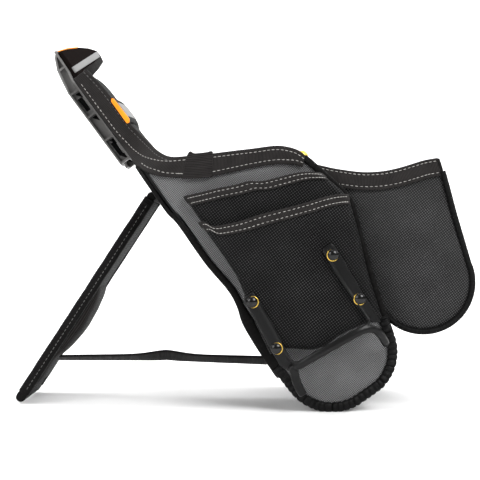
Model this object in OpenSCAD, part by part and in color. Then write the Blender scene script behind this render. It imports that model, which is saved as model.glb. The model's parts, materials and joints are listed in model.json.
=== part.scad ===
// Electrician's tool pouch with a moulded belt hub and a folding kickstand.
// The pouch is drawn upright in its own frame and then leaned back onto its stand:
//   x runs forward from the back panel, y runs across, z runs up along the back panel.
// "right" is the -y side and "left" the +y side, as the wearer sees them.

/* [Stance] */
// Lean of the back panel from upright, in degrees, with the stand open
lean = 36.5; // [30:0.5:40]
// Length of the kickstand from its hinge line to the centre of its foot
stand_len = 202; // [192:1:235]
// Width of the kickstand
stand_w = 84; // [60:1:100]
// Thickness of the covered kickstand panel
stand_t = 8; // [6:0.5:10]

/* [Compartment] */
// Width of the main compartment over its side panels
body_w = 170; // [140:1:200]
// Thickness of a fabric side panel
panel_t = 3; // [2:0.5:4]
// Height of the mouth's rear corner above the lowest point of the pouch
mouth_h = 250; // [244:1:256]
// Forward reach of the mouth from the back panel
mouth_d = 115; // [108:1:120]
// Height of the mouth's front corner
mouth_front_h = 187; // [178:1:192]
// Furthest forward point of the front edge
belly_d = 124.5; // [118:0.5:130]
// Height of that point
belly_h = 138; // [130:1:146]

/* [Back panel] */
// Thickness of the outer fabric skin
skin_t = 2.5; // [1.5:0.5:3]
// Thickness of the stiffener sheet
stiffener_t = 2; // [1:0.5:3]
// Thickness of the pad in front of the stiffener
pad_t = 3; // [2:0.5:5]
// Width of the upper back panel, behind the badge
tongue_w = 104; // [96:1:120]
// Height of the top of the back panel
tongue_h = 352; // [340:1:360]
// Extra thickness of the upper back panel's cushion
tongue_pad_t = 10; // [6:0.5:14]

/* [Sleeves] */
// Clear depth of each outer sleeve
sleeve_depth = 8; // [6:0.5:14]
// Thickness of a sleeve's fabric
sleeve_t = 2.5; // [1.5:0.5:3]

/* [Front pocket] */
// Width of the front pocket over its side panels
pocket_w = 150; // [120:1:160]
// Forward reach of the pocket's top edge
pocket_d = 201; // [190:1:215]
// Height of the pocket's front top edge
pocket_h = 121.5; // [112:0.5:130]

/* [Bindings] */
// Width of the tape round the main mouth
tape_w = 18; // [14:0.5:22]
// Width of the tape on the sleeves
sleeve_tape_w = 8.5; // [6:0.5:12]
// Width of the tape on the front pocket
pocket_tape_w = 15; // [10:0.5:18]
// Thickness of one layer of tape
tape_t = 2; // [1:0.5:3]
// Width of the gathered binding round the pouch's lower edge
gather_w = 8; // [6:0.5:10]
// How far the gathered binding stands off the side panel
gather_t = 4.5; // [3:0.5:6]
// Diameter of the front pocket's piping
piping_d = 5; // [3:0.5:6]

/* [Hub] */
// Width of the moulded hub over its side walls
hub_w = 66; // [62:1:94]
// Depth of the hub behind the back panel
hub_d = 10.5; // [9:0.5:14]
// Height of the hub's lower end
hub_z = 273.5; // [266:0.5:280]
// Pitch of the hub's ribs
rib_pitch = 24; // [20:0.1:25]
// Width of the slot that takes a belt clip
clip_slot_w = 28; // [20:1:30]
// Height of that slot above the hub's lower end
clip_slot_h = 62; // [40:1:70]

/* [Guard and rivets] */
// Width of a guard strip
strip_w = 11; // [9:0.5:14]
// Thickness of a guard strip
strip_t = 3; // [2:0.5:4]
// How far the guard's crossbar bows out from the strips
bow = 9; // [5:0.5:14]
// Diameter of a rivet cap
cap_d = 10; // [8:0.5:12]
// Diameter of a rivet shank
shank_d = 4; // [3:0.5:5]

/* [Strap] */
// Width of the webbing strap
strap_w = 25; // [18:1:32]
// Thickness of the webbing
strap_t = 2; // [1.5:0.5:3]
// Twist of the strap about its own length, in degrees
strap_twist = 20; // [0:1:25]

/* [Hidden] */

$fn = 48;
touch = 0.01; // overlap that joins two shapes of one solid
rivet_gap = 0.1; // clearance round a rivet's shank
body_gap = 0.4; // clearance between the pouch and the kickstand

// Plane geometry, in the side view: [x forward, z up].
function unit(v) = v / norm(v);
function left_of(v) = [-v[1], v[0]];
function arc(c, r, from, to, n) =
    [for (i = [0:n]) let (a = from + (to - from) * i / n) c + r * [cos(a), sin(a)]];
function reversed(p) = [for (i = [len(p) - 1:-1:0]) p[i]];
// The path p moved sideways by d, to the left of its direction of travel.
function shifted(p, d) = [for (i = [0:len(p) - 1])
    let (
        back = i == 0 ? p[1] - p[0] : p[i] - p[i - 1],
        ahead = i == len(p) - 1 ? back : p[i + 1] - p[i],
        n_back = left_of(unit(back)),
        n_mid = unit(n_back + left_of(unit(ahead)))
    ) p[i] + n_mid * d / (n_mid * n_back)];
// The strip between the path moved by d0 and the path moved by d1.
function strip(p, d0, d1) = concat(shifted(p, d0), reversed(shifted(p, d1)));

// A side-view outline drawn from y0 to y1.
module across(y0, y1) {
    translate([0, y1, 0]) rotate([90, 0, 0]) linear_extrude(y1 - y0) children();
}
// A front-view outline, [y, z], drawn from x0 to x1.
module forward(x0, x1) {
    translate([x0, 0, 0]) rotate([90, 0, 90]) linear_extrude(x1 - x0) children();
}
// What is drawn on the left side, on the side that s names: 1 is left and -1 is right.
module side(s) {
    if (s > 0) children();
    else mirror([0, 1, 0]) children();
}

// Main compartment. Its lower edge is two arcs, with the lowest point on the floor.
half_w = body_w / 2;
rear_arc_c = [34.5, 43];
rear_arc_r = 41.5;
front_arc_c = [48.5, 40];
front_arc_r = 39;
back_foot_z = 60; // the back panel's lower end, above the arcs
seam_gap = 0.5; // between the lower edge of the back panel and the wall below it
lip = 1.5; // how far the bindings reach past the fabric they cover
edge_path = concat(
    [[rear_arc_c[0] - rear_arc_r, back_foot_z - seam_gap]],
    arc(rear_arc_c, rear_arc_r, 180, 265, 10),
    arc(front_arc_c, front_arc_r, 275, 345, 8),
    [[belly_d, belly_h], [mouth_d, mouth_front_h]]
);
last = len(edge_path) - 1;
wall_path = shifted(edge_path, lip);

// Back panel, from its lower end to its top. It bulges backward over its lower third.
back_t = skin_t + stiffener_t + pad_t;
back_path = [[-9, back_foot_z], [-7, 98], [0, 130], [0, tongue_h]];
inner_back = shifted(back_path, -back_t);

// Mouth tape: the top edge from the flank of the upper back panel to the front corner.
cushion_x = back_t + tongue_pad_t; // front of the upper back panel's cushion
flare_z = mouth_h - 6; // where the back panel starts to narrow towards its top
tongue_z = mouth_h + 36; // where it has reached its upper width
mouth_path = [
    [27, mouth_h + 6], [40, mouth_h - 7], [66, mouth_h - 23], [88, mouth_h - 35],
    [102, mouth_h - 45], [mouth_d - 3, mouth_front_h + 8], [mouth_d, mouth_front_h],
];
tape_path = concat([
    [cushion_x - 2.5, tongue_h], [cushion_x, tongue_h - 26], [cushion_x, tongue_z],
    [cushion_x + 3.5, mouth_h + 17],
], mouth_path);
// The left edge of the back panel in the front view, [y, z], from the bottom to the top.
function flank(half, half_top) = [
    [half, 0], [half, flare_z], [half - 8, flare_z + 16], [half_top + 5, flare_z + 32], [half_top, tongue_z],
    [half_top, tongue_h],
];
function back_outline(half, half_top) =
    concat(flank(half, half_top), reversed([for (p = flank(half, half_top)) [-p[0], p[1]]]));

// Hub rivets, in the front view.
hub_plate_t = 1.8;
hub_rivet_y = hub_w / 2 - 9;
hub_rivet_z = [hub_z + 12, hub_z + 58];
module hub_rivet_holes() {
    for (y = [-hub_rivet_y, hub_rivet_y])
        for (z = hub_rivet_z)
            translate([-hub_d, y, z]) rotate([0, 90, 0])
                cylinder(d = shank_d + 2 * rivet_gap, h = 2 * hub_d);
}

// One layer of the back panel, between two depths from its rear face.
module back_layer(d0, d1, inset) {
    difference() {
        intersection() {
            across(-half_w, half_w) polygon(strip(back_path, -d0, -d1));
            forward(-20, 40) polygon(back_outline(half_w - inset, tongue_w / 2 - inset));
        }
        if (d0 < skin_t + stiffener_t) hub_rivet_holes();
    }
}

// Hub: a box section with a clip slot in its rear plate and recessed cells down each side.
hub_half = hub_w / 2;
cell_depth = 4;
wall_t = 2.6;
apex = [2.5, 382.6];
hub_rear = [
    [-hub_d, hub_z], [-hub_d, hub_z + 74], [-hub_d + 1.5, hub_z + 83], [-6.5, hub_z + 95],
    [-2, hub_z + 104.5], apex,
];
hub_front_line = [[0, hub_z], [0, tongue_h + 3], [1.5, tongue_h + 10], apex];
hub_profile = concat(hub_rear, reversed(hub_front_line));
rib_z = [for (i = [1:3]) hub_z + i * rib_pitch];
module hub_slots() {
    for (z = [hub_z + 7, rib_z[1] + 5])
        translate([-hub_d / 2 - 2, -hub_w, z]) cube([4.5, 2 * hub_w, 13]);
}
// A small triangular window under each rib, in the corner by the front lip.
module hub_windows() {
    for (s = [-1, 1]) side(s)
        for (z = concat([hub_z + 8.5], rib_z))
            across(hub_half - wall_t - touch, hub_half + touch)
                polygon([[-6.6, z - 1.4], [-2.2, z - 1.4], [-2.2, z - 7.4]]);
}

// Sleeves: rear and front, each an outer face with walls on three sides.
rear_y = half_w + sleeve_depth;
front_y = rear_y + sleeve_t + sleeve_depth;
guard_y = front_y + sleeve_t;
sleeve_foot = [[31, 57], [57, 54], [80, 47]];
rear_edge = concat([[16.5, 217], [14, 140], [10, 118], [3, 78]], sleeve_foot,
    [[belly_d - 14, belly_h - 22], [belly_d - 3.5, belly_h + 2], [belly_d - 8, belly_h + 30]]);
rear_top = [[16.5, 217], [42, 207], [70, 193], [98, 180], [belly_d - 8, belly_h + 30]];
front_edge = concat([[14.5, 191], [13.5, 140], [10, 118], [3, 78]], sleeve_foot,
    [[belly_d - 14, belly_h - 22], [belly_d - 2, belly_h + 3]]);
front_top = [[14.5, 191], [24, 182], [54, 170], [82, 158.5], [107, 150], [belly_d - 2, belly_h + 3]];
module sleeve(edge, top, y) {
    across(y, y + sleeve_t) polygon(concat(edge, reversed([for (i = [1:len(top) - 2]) top[i]])));
    across(y - sleeve_depth, y + touch) polygon(strip(edge, 0, sleeve_t));
}
module top_tape(top, y, w, t) {
    across(y, y + t) polygon(strip(top, 0, -w));
}

// Guard: two strips joined by a bowed crossbar, with a toe below each strip.
strip_rear = [[11, 118], [4.8, 78.5]];
strip_front = [[83.3, 111], [79.8, 70.7]];
toe_rear = [[4.4, 55], [-0.5, 33]];
toe_front = [[79, 47], [75.5, 26]];
bar_t = 7;
bar_ends = [toe_rear[0], toe_front[0]];
bar_span = norm(bar_ends[1] - bar_ends[0]);
bar_slope = atan2(bar_ends[1][1] - bar_ends[0][1], bar_ends[1][0] - bar_ends[0][0]);
toe_d = 6;
toe_y = half_w + gather_t + toe_d / 2;
rivet_points = concat(strip_rear, strip_front);
module strip_bar(ends) {
    run = ends[1] - ends[0];
    angle = atan2(-run[0], -run[1]);
    translate([ends[1][0], guard_y, ends[1][1]]) rotate([0, angle, 0])
        translate([-strip_w / 2, 0, -26]) cube([strip_w, strip_t, norm(run) + 34]);
}
module toe(ends) {
    hull() {
        translate([ends[0][0], guard_y + toe_d / 2 + seam_gap, ends[0][1]]) sphere(d = toe_d, $fn = 24);
        translate([ends[1][0], toe_y, ends[1][1]]) sphere(d = toe_d - 1, $fn = 24);
    }
}
module guard_rivet_holes(depth) {
    for (p = rivet_points)
        translate([p[0], guard_y - depth, p[1]]) rotate([-90, 0, 0])
            cylinder(d = shank_d + 2 * rivet_gap, h = 40);
}

// Front pocket: an arc that starts on the compartment's front wall and rises to the front edge.
pocket_half = pocket_w / 2;
pocket_c = [131, 48];
slope = (edge_path[last - 1] - edge_path[last - 2]);
wall_x = edge_path[last - 2][0] + slope[0] / slope[1] * (pocket_c[1] - edge_path[last - 2][1]);
wall_offset = lip * norm(slope) / slope[1];
pocket_r = pocket_c[0] - (wall_x - wall_offset);
pocket_path = concat(
    arc(pocket_c, pocket_r, 180, 348, 18), [[pocket_d - 17, pocket_h - 44], [pocket_d, pocket_h]]
);
pocket_end = len(pocket_path) - 1;
pocket_fall = unit(pocket_path[pocket_end - 1] - pocket_path[pocket_end]);
wall_down = unit(wall_path[last - 1] - wall_path[last]);
corner_rivet_d = 7;
pocket_top = [
    wall_path[last] + wall_down * (corner_rivet_d + 1), [mouth_d + 14, mouth_front_h - 23],
    [mouth_d + 29, mouth_front_h - 38], [mouth_d + 54, pocket_h + 14], [pocket_d - 10, pocket_h + 5],
    [pocket_d, pocket_h],
];
pocket_outline = concat(
    pocket_path, reversed([for (i = [0:len(pocket_top) - 2]) pocket_top[i]]), [wall_path[last - 1]]
);
// What lies behind the front wall's outer face, to trim the pocket's tape and piping by.
module behind_wall() {
    across(-body_w, body_w) polygon(concat(
        [[0, 0]], [for (i = [last - 2:last]) wall_path[i]],
        [wall_path[last] - wall_down * tape_w, [0, mouth_h]]
    ));
}

// Kickstand, drawn hanging down from its hinge line and then swung out until its foot is on the floor.
half_t = stand_t / 2;
web_t = 1.2;
hinge = [-(half_t + web_t + body_gap), mouth_h - 13.4];
function up(p) = p[0] * sin(lean) + p[1] * cos(lean);
function out(p) = p[0] * cos(lean) - p[1] * sin(lean);
floor_level = min(up(rear_arc_c) - rear_arc_r, up(front_arc_c) - front_arc_r);
stand_tilt = acos((up(hinge) - floor_level - half_t) / stand_len);
stand_open = lean + stand_tilt;
// A point on the stand: d in front of its mid-plane and s down from the hinge line.
function on_stand(d, s) =
    hinge + [d * cos(stand_open) - s * sin(stand_open), -d * sin(stand_open) - s * cos(stand_open)];
board_end = stand_len - 8;
edge_tape = 4;
stand_half = stand_w / 2;

// Strap, from the stand's inner face to the back panel's foot.
strap_exit = stand_len * 0.8; // where the strap leaves the stand's patch
patch_tail = 2; // thickness of the patch below that place
strap_stand = on_stand(0, strap_exit);
strap_pouch = [-9, back_foot_z + 5];
strap_run = strap_pouch - strap_stand;

// Placing the pouch in the part's frame: leaned back, on the floor, centred under its box.
foot_x = out(on_stand(0, stand_len)) - half_t;
nose_x = max(out([pocket_d, pocket_h]), out(pocket_c) + pocket_r) + piping_d / 2;
module placed() {
    translate([-(foot_x + nose_x) / 2, 0, -floor_level]) rotate([0, -lean, 0]) children();
}
module on_kickstand() {
    placed() translate([hinge[0], 0, hinge[1]]) rotate([0, stand_open, 0]) children();
}

// ---- Hub ----
module hub_body() {
    color("dimgray") placed() difference() {
        union() {
            // rear plate, front plate and side walls
            across(-hub_half, hub_half) polygon(hub_profile);
            // lips and ribs that frame the cells
            for (s = [-1, 1]) side(s) {
                across(hub_half - touch, hub_half + cell_depth) polygon(strip(hub_rear, 0, -1.8));
                across(hub_half - touch, hub_half + cell_depth) polygon(strip(hub_front_line, 0, 1.8));
                across(hub_half - touch, hub_half + cell_depth)
                    polygon(strip([[-hub_d, hub_z], [0, hub_z]], 0, 1.8));
                for (z = concat(rib_z, [hub_z + 94]))
                    across(hub_half - touch, hub_half + cell_depth) intersection() {
                        polygon(hub_profile);
                        translate([-hub_d, z - 0.9]) square([2 * hub_d, 1.8]);
                    }
            }
        }
        // the channel behind the rear plate, open at the lower end
        translate([-hub_d + wall_t, -hub_half + wall_t, hub_z - 1])
            cube([hub_d - wall_t - hub_plate_t, hub_w - 2 * wall_t, tongue_h - hub_z - 12]);
        // the clip slot in the rear plate
        translate([-hub_d - 1, -clip_slot_w / 2, hub_z - 1]) cube([wall_t + 2, clip_slot_w, clip_slot_h + 1]);
        hub_slots();
        hub_windows();
        hub_rivet_holes();
    }
}
grip_top = [apex, [11.5, 380.4], [19, 377], [25.7, 372], [30.4, 366.2]];
grip_nose = [29.2, 360.6]; // the lower front corner of the grip's band
grip_foot = tongue_h + 1; // the grip's underside, just above the back panel
grip_profile = concat(grip_top, [grip_nose, [22, 358.8], [12, 358], [6, grip_foot], [0.5, grip_foot]]);
band_profile = [[4.5, 364.5], grip_top[len(grip_top) - 1], grip_nose, [4.3, 359]];
band_t = 3;
grip_half = hub_half - 2;
nose_half = 12; // the grip narrows to this at its nose
// The grip's outline from above, brought in by an inset.
module grip_plan(inset) {
    translate([0, 0, tongue_h]) linear_extrude(40)
        polygon([
            [-hub_d, -grip_half + inset], [6, -grip_half + inset], [33, -nose_half + inset],
            [33, nose_half - inset], [6, grip_half - inset], [-hub_d, grip_half - inset],
        ]);
}
module side_bands() {
    difference() {
        intersection() {
            across(-grip_half, grip_half) polygon(band_profile);
            grip_plan(0);
        }
        grip_plan(band_t);
    }
}
module inlay_bar() {
    intersection() {
        across(-grip_half, grip_half)
            polygon(strip([apex + [1, -0.24], grip_top[1], grip_top[2]], 0.4, -0.6));
        grip_plan(0);
    }
}
module hub_grip() {
    color("#161616") placed() difference() {
        intersection() {
            across(-grip_half, grip_half) polygon(grip_profile);
            grip_plan(0);
        }
        side_bands();
        across(-hub_w, hub_w) polygon(hub_profile);
        inlay_bar();
    }
}
module hub_grip_band() {
    color("silver") placed() difference() {
        side_bands();
        across(-hub_w, hub_w) polygon(hub_profile);
    }
}
module hub_inlay() {
    color("goldenrod") placed() difference() {
        inlay_bar();
        across(-hub_w, hub_w) polygon(hub_profile);
    }
}
module hub_rivets() {
    color("silver") placed()
        for (y = [-hub_rivet_y, hub_rivet_y])
            for (z = hub_rivet_z) {
                translate([-hub_plate_t - 1.5, y, z]) rotate([0, 90, 0]) cylinder(d = 2 * shank_d, h = 1.5);
                translate([-hub_plate_t - touch, y, z]) rotate([0, 90, 0])
                    cylinder(d = shank_d, h = hub_plate_t + skin_t + stiffener_t + touch);
            }
}

// ---- Back panel ----
module back_skin() {
    color("#1c1c1c") placed() back_layer(0, skin_t, 0);
}
module back_stiffener() {
    color("whitesmoke") placed() back_layer(skin_t, skin_t + stiffener_t, 4);
}
module back_pad() {
    color("#242424") placed() back_layer(skin_t + stiffener_t, back_t, 0);
}
module tongue_cushion() {
    color("#202020") placed() intersection() {
        across(-half_w, half_w) polygon([
            [back_t, mouth_h - 12], [cushion_x - 2, mouth_h - 4], [cushion_x + 1, mouth_h + 12],
            [cushion_x, tongue_z], [cushion_x, tongue_h - 26], [cushion_x - 0.8, tongue_h - 14],
            [cushion_x - 2.5, tongue_h], [back_t, tongue_h],
        ]);
        forward(0, 60) polygon(back_outline(half_w - panel_t - tape_t, tongue_w / 2));
    }
}

// ---- Badge: a crowned saddle over the front of the tongue ----
badge_half = tongue_w / 2 + tape_t;
badge_z = [295, 322];
badge_flat = 30; // half the width of its flat crown
badge_end = 0.8; // thickness at its ends
badge_t = 4;
// A point on the badge's front, at a distance from the middle.
function badge_front(y) =
    [cushion_x + badge_t - (badge_t - badge_end) * max(0, y - badge_flat) / (badge_half - badge_flat), y];
module badge_base() {
    color("#101010") placed() translate([0, 0, badge_z[0]]) linear_extrude(badge_z[1] - badge_z[0])
        polygon([
            [cushion_x, -badge_half], [cushion_x + badge_end, -badge_half],
            [cushion_x + badge_t, -badge_flat], [cushion_x + badge_t, badge_flat],
            [cushion_x + badge_end, badge_half], [cushion_x, badge_half],
        ]);
}
module badge_flanks() {
    color("orange") placed() for (s = [-1, 1]) side(s)
        across(badge_half, badge_half + 1.6) polygon([
            [cushion_x - 3, badge_z[0] + 1], [cushion_x + 1.6, badge_z[0] + 2],
            [cushion_x + 1, badge_z[1] - 2.5], [cushion_x - 2.6, badge_z[1] - 3],
        ]);
}
module badge_bar() {
    front = [badge_front(badge_half - 4), badge_front(badge_flat)];
    line = concat(front, reversed([for (p = front) [p[0], -p[1]]]));
    color("lightgray") placed() translate([0, 0, badge_z[0] + 5.5])
        linear_extrude(badge_z[1] - badge_z[0] - 11)
            polygon(concat(line, reversed([for (p = line) p + [0.9, 0]])));
}

// ---- Main compartment ----
module side_panel() {
    top = shifted(mouth_path, -tape_t);
    intersection() {
        across(half_w - panel_t, half_w) polygon(concat(
            [[back_t, mouth_h + 10], inner_back[2], inner_back[1], inner_back[0]],
            [for (i = [0:last - 1]) wall_path[i]],
            reversed(top)
        ));
        forward(-20, 300) polygon(back_outline(half_w, tongue_w / 2));
    }
}
module side_panel_right() {
    color("gray") placed() side(-1) side_panel();
}
module side_panel_left() {
    color("gray") placed() side(1) side_panel();
}
module front_wall() {
    color("#262626") placed() across(-half_w + panel_t, half_w - panel_t)
        polygon(strip(wall_path, 0, panel_t));
}
// One tape runs down the flank of the upper back panel and along the mouth.
module mouth_tape() {
    intersection() {
        across(0, body_w) polygon(strip(tape_path, 0, -tape_w));
        forward(0, 300) polygon(strip(flank(half_w, tongue_w / 2), 0, -tape_t));
    }
    // its turned-in half, inside the mouth
    intersection() {
        across(half_w - panel_t - tape_t, half_w + touch) polygon(strip(mouth_path, 0, -tape_t));
        forward(0, 300) square([half_w + tape_t, flare_z]);
    }
}
module mouth_tape_right() {
    color("#1a1a1a") placed() side(-1) mouth_tape();
}
module mouth_tape_left() {
    color("#1a1a1a") placed() side(1) mouth_tape();
}
module mouth_tape_front() {
    half = pocket_half - panel_t - seam_gap;
    color("#1a1a1a") placed() across(-half, half)
        polygon(strip([wall_path[last] + wall_down * tape_w, wall_path[last]], 0, -tape_t));
}
module gathered_binding() {
    gathered = [for (i = [0:last - 2]) edge_path[i]];
    across(half_w, half_w + gather_t) polygon(strip(gathered, 0, gather_w));
    across(half_w - panel_t, half_w + touch) polygon(strip(gathered, 0, lip));
}
module gathered_binding_right() {
    color("#151515") placed() side(-1) gathered_binding();
}
module gathered_binding_left() {
    color("#151515") placed() side(1) gathered_binding();
}
module keeper_loop() {
    lean_in = atan2(16, 26);
    translate([42, half_w + tape_t, mouth_h - 9]) rotate([0, lean_in, 0])
        translate([0, 0, -tape_w - 1]) cube([23, 2, tape_w + 3]);
}
module keeper_loop_right() {
    color("#121212") placed() side(-1) keeper_loop();
}
module keeper_loop_left() {
    color("#121212") placed() side(1) keeper_loop();
}
module corner_rivets() {
    angle = atan2(wall_down[1], wall_down[0]) + 90;
    color("goldenrod") placed() for (s = [-1, 1]) side(s)
        translate([wall_path[last][0], half_w - panel_t - 1 - corner_rivet_d / 2, wall_path[last][1]])
            rotate([0, -angle, 0]) translate([0, 0, -corner_rivet_d / 2 - seam_gap]) rotate([0, 90, 0])
                cylinder(d = corner_rivet_d, h = 2.5);
}

// ---- Side sleeves ----
module rear_sleeve() {
    sleeve(rear_edge, rear_top, rear_y);
}
module rear_sleeve_right() {
    color("#202020") placed() side(-1) rear_sleeve();
}
module rear_sleeve_left() {
    color("#202020") placed() side(1) rear_sleeve();
}
module rear_sleeve_tape_right() {
    color("#151515") placed() side(-1) top_tape(rear_top, rear_y + sleeve_t, sleeve_tape_w, tape_t);
}
module rear_sleeve_tape_left() {
    color("#151515") placed() side(1) top_tape(rear_top, rear_y + sleeve_t, sleeve_tape_w, tape_t);
}
module front_sleeve() {
    difference() {
        sleeve(front_edge, front_top, front_y);
        guard_rivet_holes(sleeve_t + 1);
    }
}
module front_sleeve_right() {
    color("#1e1e1e") placed() side(-1) front_sleeve();
}
module front_sleeve_left() {
    color("#1e1e1e") placed() side(1) front_sleeve();
}
module front_sleeve_tape_right() {
    color("#151515") placed() side(-1) top_tape(front_top, front_y + sleeve_t, sleeve_tape_w, tape_t);
}
module front_sleeve_tape_left() {
    color("#151515") placed() side(1) top_tape(front_top, front_y + sleeve_t, sleeve_tape_w, tape_t);
}

// ---- Guard ----
module guard() {
    difference() {
        union() {
            strip_bar(strip_rear);
            strip_bar(strip_front);
            toe(toe_rear);
            toe(toe_front);
            // the crossbar, an arc of a circle in plan
            r = (bar_span * bar_span / 4 + bow * bow) / (2 * bow);
            sweep = asin(bar_span / 2 / r);
            translate([bar_ends[0][0], guard_y, bar_ends[0][1]]) rotate([0, -bar_slope, 0])
                translate([bar_span / 2, bow - r, -bar_t / 2]) linear_extrude(bar_t) polygon(concat(
                    arc([0, 0], r, 90 + sweep, 90 - sweep, 16), arc([0, 0], r + 4, 90 - sweep, 90 + sweep, 16)
                ));
        }
        guard_rivet_holes(1);
    }
}
module guard_right() {
    color("#0c0c0c") placed() side(-1) guard();
}
module guard_left() {
    color("#0c0c0c") placed() side(1) guard();
}
ring_t = 0.8;
module at_rivets() {
    for (s = [-1, 1]) side(s)
        for (p = rivet_points)
            translate([p[0], guard_y, p[1]]) rotate([-90, 0, 0]) children();
}
module guard_rivet_caps() {
    color("#0a0a0a") placed() at_rivets() {
        translate([0, 0, -sleeve_t]) cylinder(d = shank_d, h = sleeve_t + strip_t + ring_t + touch);
        translate([0, 0, strip_t + ring_t]) cylinder(d = cap_d - 1, h = 1);
        translate([0, 0, strip_t + ring_t + 1 - touch]) cylinder(d1 = cap_d - 1, d2 = cap_d - 5, h = 1.2);
    }
}
module guard_rivet_rings() {
    color("goldenrod") placed() at_rivets() translate([0, 0, strip_t]) difference() {
        cylinder(d = cap_d + 1, h = ring_t);
        translate([0, 0, -1]) cylinder(d = shank_d + 2 * rivet_gap, h = ring_t + 2);
    }
}

// ---- Front pocket ----
module pocket_side() {
    across(pocket_half - panel_t, pocket_half) polygon(pocket_outline);
}
module pocket_side_right() {
    color("#1d1d1d") placed() side(-1) pocket_side();
}
module pocket_side_left() {
    color("#1d1d1d") placed() side(1) pocket_side();
}
module pocket_wall() {
    color("#1d1d1d") placed() across(-pocket_half + panel_t, pocket_half - panel_t)
        polygon(strip(pocket_path, 0, panel_t));
}
module pocket_tape() {
    color("#1a1a1a") placed() {
        for (s = [-1, 1]) side(s) difference() {
            across(pocket_half, pocket_half + tape_t) polygon(strip(pocket_top, 0, -pocket_tape_w));
            behind_wall();
        }
        across(-pocket_half - tape_t, pocket_half + tape_t)
            polygon(strip(
                [pocket_path[pocket_end] + pocket_fall * pocket_tape_w, pocket_path[pocket_end]], 0, -tape_t
            ));
    }
}
module pocket_piping() {
    run = concat(
        [for (i = [0:pocket_end - 1]) pocket_path[i]],
        [pocket_path[pocket_end] + pocket_fall * (pocket_tape_w + seam_gap)]
    );
    difference() {
        across(pocket_half, pocket_half + piping_d * 0.7) polygon(strip(run, -piping_d / 2, piping_d / 2));
        behind_wall();
    }
}
module pocket_piping_right() {
    color("#0e0e0e") placed() side(-1) pocket_piping();
}
module pocket_piping_left() {
    color("#0e0e0e") placed() side(1) pocket_piping();
}

// ---- Strap and hinge web ----
module hinge_web() {
    color("#141414") placed() translate([-web_t, -stand_half + 2, hinge[1] - 8])
        cube([web_t, stand_w - 4, hub_z - hinge[1] + 5]);
}
anchor_path = [back_path[0], back_path[1], back_path[1] + 0.3 * (back_path[2] - back_path[1])];
anchor_t = 2;
module strap_anchor() {
    color("#141414") placed() across(-stand_half, stand_half) polygon(strip(anchor_path, 0, anchor_t));
}
module strap() {
    angle = atan2(strap_run[1], strap_run[0]);
    color("#161616") placed() difference() {
        translate([strap_stand[0], 0, strap_stand[1]]) rotate([0, -angle, 0]) rotate([strap_twist, 0, 0])
            translate([0, -strap_w / 2, -strap_t / 2]) cube([norm(strap_run) + 6, strap_w, strap_t]);
        across(-half_w, half_w)
            polygon(concat(shifted(anchor_path, anchor_t), [[half_w, mouth_h], [half_w, 0], [-11.5, 0]]));
        translate([hinge[0], 0, hinge[1]]) rotate([0, stand_open, 0])
            across(-half_w, half_w) translate([-stand_t, -stand_len])
                square([stand_t + half_t + patch_tail + 2 * body_gap, stand_len]);
    }
}

// ---- Kickstand ----
module stand_knuckle() {
    color("#141414") on_kickstand() translate([0, stand_half - 2, 0]) rotate([90, 0, 0])
        cylinder(r = half_t, h = stand_w - 4);
}
module stand_slab(x0, x1, inset) {
    forward(x0, x1) translate([-stand_half + inset, -board_end])
        square([stand_w - 2 * inset, board_end - half_t]);
}
module stand_board() {
    color("whitesmoke") on_kickstand() stand_slab(-half_t + 2.5, half_t - 2.5, edge_tape);
}
module stand_skin_outer() {
    color("#1a1a1a") on_kickstand() stand_slab(-half_t, -half_t + 2.5, edge_tape);
}
module stand_skin_inner() {
    color("#1a1a1a") on_kickstand() stand_slab(half_t - 2.5, half_t, edge_tape);
}
module stand_binding() {
    color("#222222") on_kickstand() for (s = [-1, 1]) side(s)
        forward(-half_t, half_t) translate([stand_half - edge_tape, -board_end])
            square([edge_tape, board_end - half_t]);
}
module stand_foot() {
    color("#222222") on_kickstand() {
        translate([-half_t, -stand_half, -stand_len]) cube([stand_t, stand_w, stand_len - board_end]);
        translate([0, stand_half, -stand_len]) rotate([90, 0, 0]) cylinder(r = half_t, h = stand_w);
    }
}
module stand_patch() {
    top = stand_len * 0.43;
    bulge = 6.5;
    color("#181818") on_kickstand() across(-stand_half + 12, stand_half - 12) polygon([
        [half_t, -top], [half_t + bulge / 2, -top - 4], [half_t + bulge, -(top + strap_exit) / 2],
        [half_t + patch_tail, -strap_exit + 8], [half_t + patch_tail, -stand_len * 0.91],
        [half_t, -stand_len * 0.92],
    ]);
}

hub_body();
hub_grip();
hub_grip_band();
hub_inlay();
hub_rivets();
back_skin();
back_stiffener();
back_pad();
tongue_cushion();
badge_base();
badge_flanks();
badge_bar();
side_panel_right();
side_panel_left();
front_wall();
mouth_tape_right();
mouth_tape_left();
mouth_tape_front();
gathered_binding_right();
gathered_binding_left();
keeper_loop_right();
keeper_loop_left();
corner_rivets();
rear_sleeve_right();
rear_sleeve_left();
rear_sleeve_tape_right();
rear_sleeve_tape_left();
front_sleeve_right();
front_sleeve_left();
front_sleeve_tape_right();
front_sleeve_tape_left();
guard_right();
guard_left();
guard_rivet_caps();
guard_rivet_rings();
pocket_side_right();
pocket_side_left();
pocket_wall();
pocket_tape();
pocket_piping_right();
pocket_piping_left();
hinge_web();
strap_anchor();
strap();
stand_knuckle();
stand_board();
stand_skin_outer();
stand_skin_inner();
stand_binding();
stand_foot();
stand_patch();
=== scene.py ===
# %% [markdown]
# # An electrician's tool pouch, standing on its kickstand
# The pouch hangs from a moulded belt hub. Its body is woven nylon, bound with tape and webbing.
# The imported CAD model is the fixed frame: it says how big each piece is, where it is and what it moves with.
# Every soft piece is remodelled here as cloth, and the moulded pieces get rounded edges.

# %% Load the frame
import json
import math

import bmesh
import bpy
from mathutils import Matrix, Vector, noise


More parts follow.
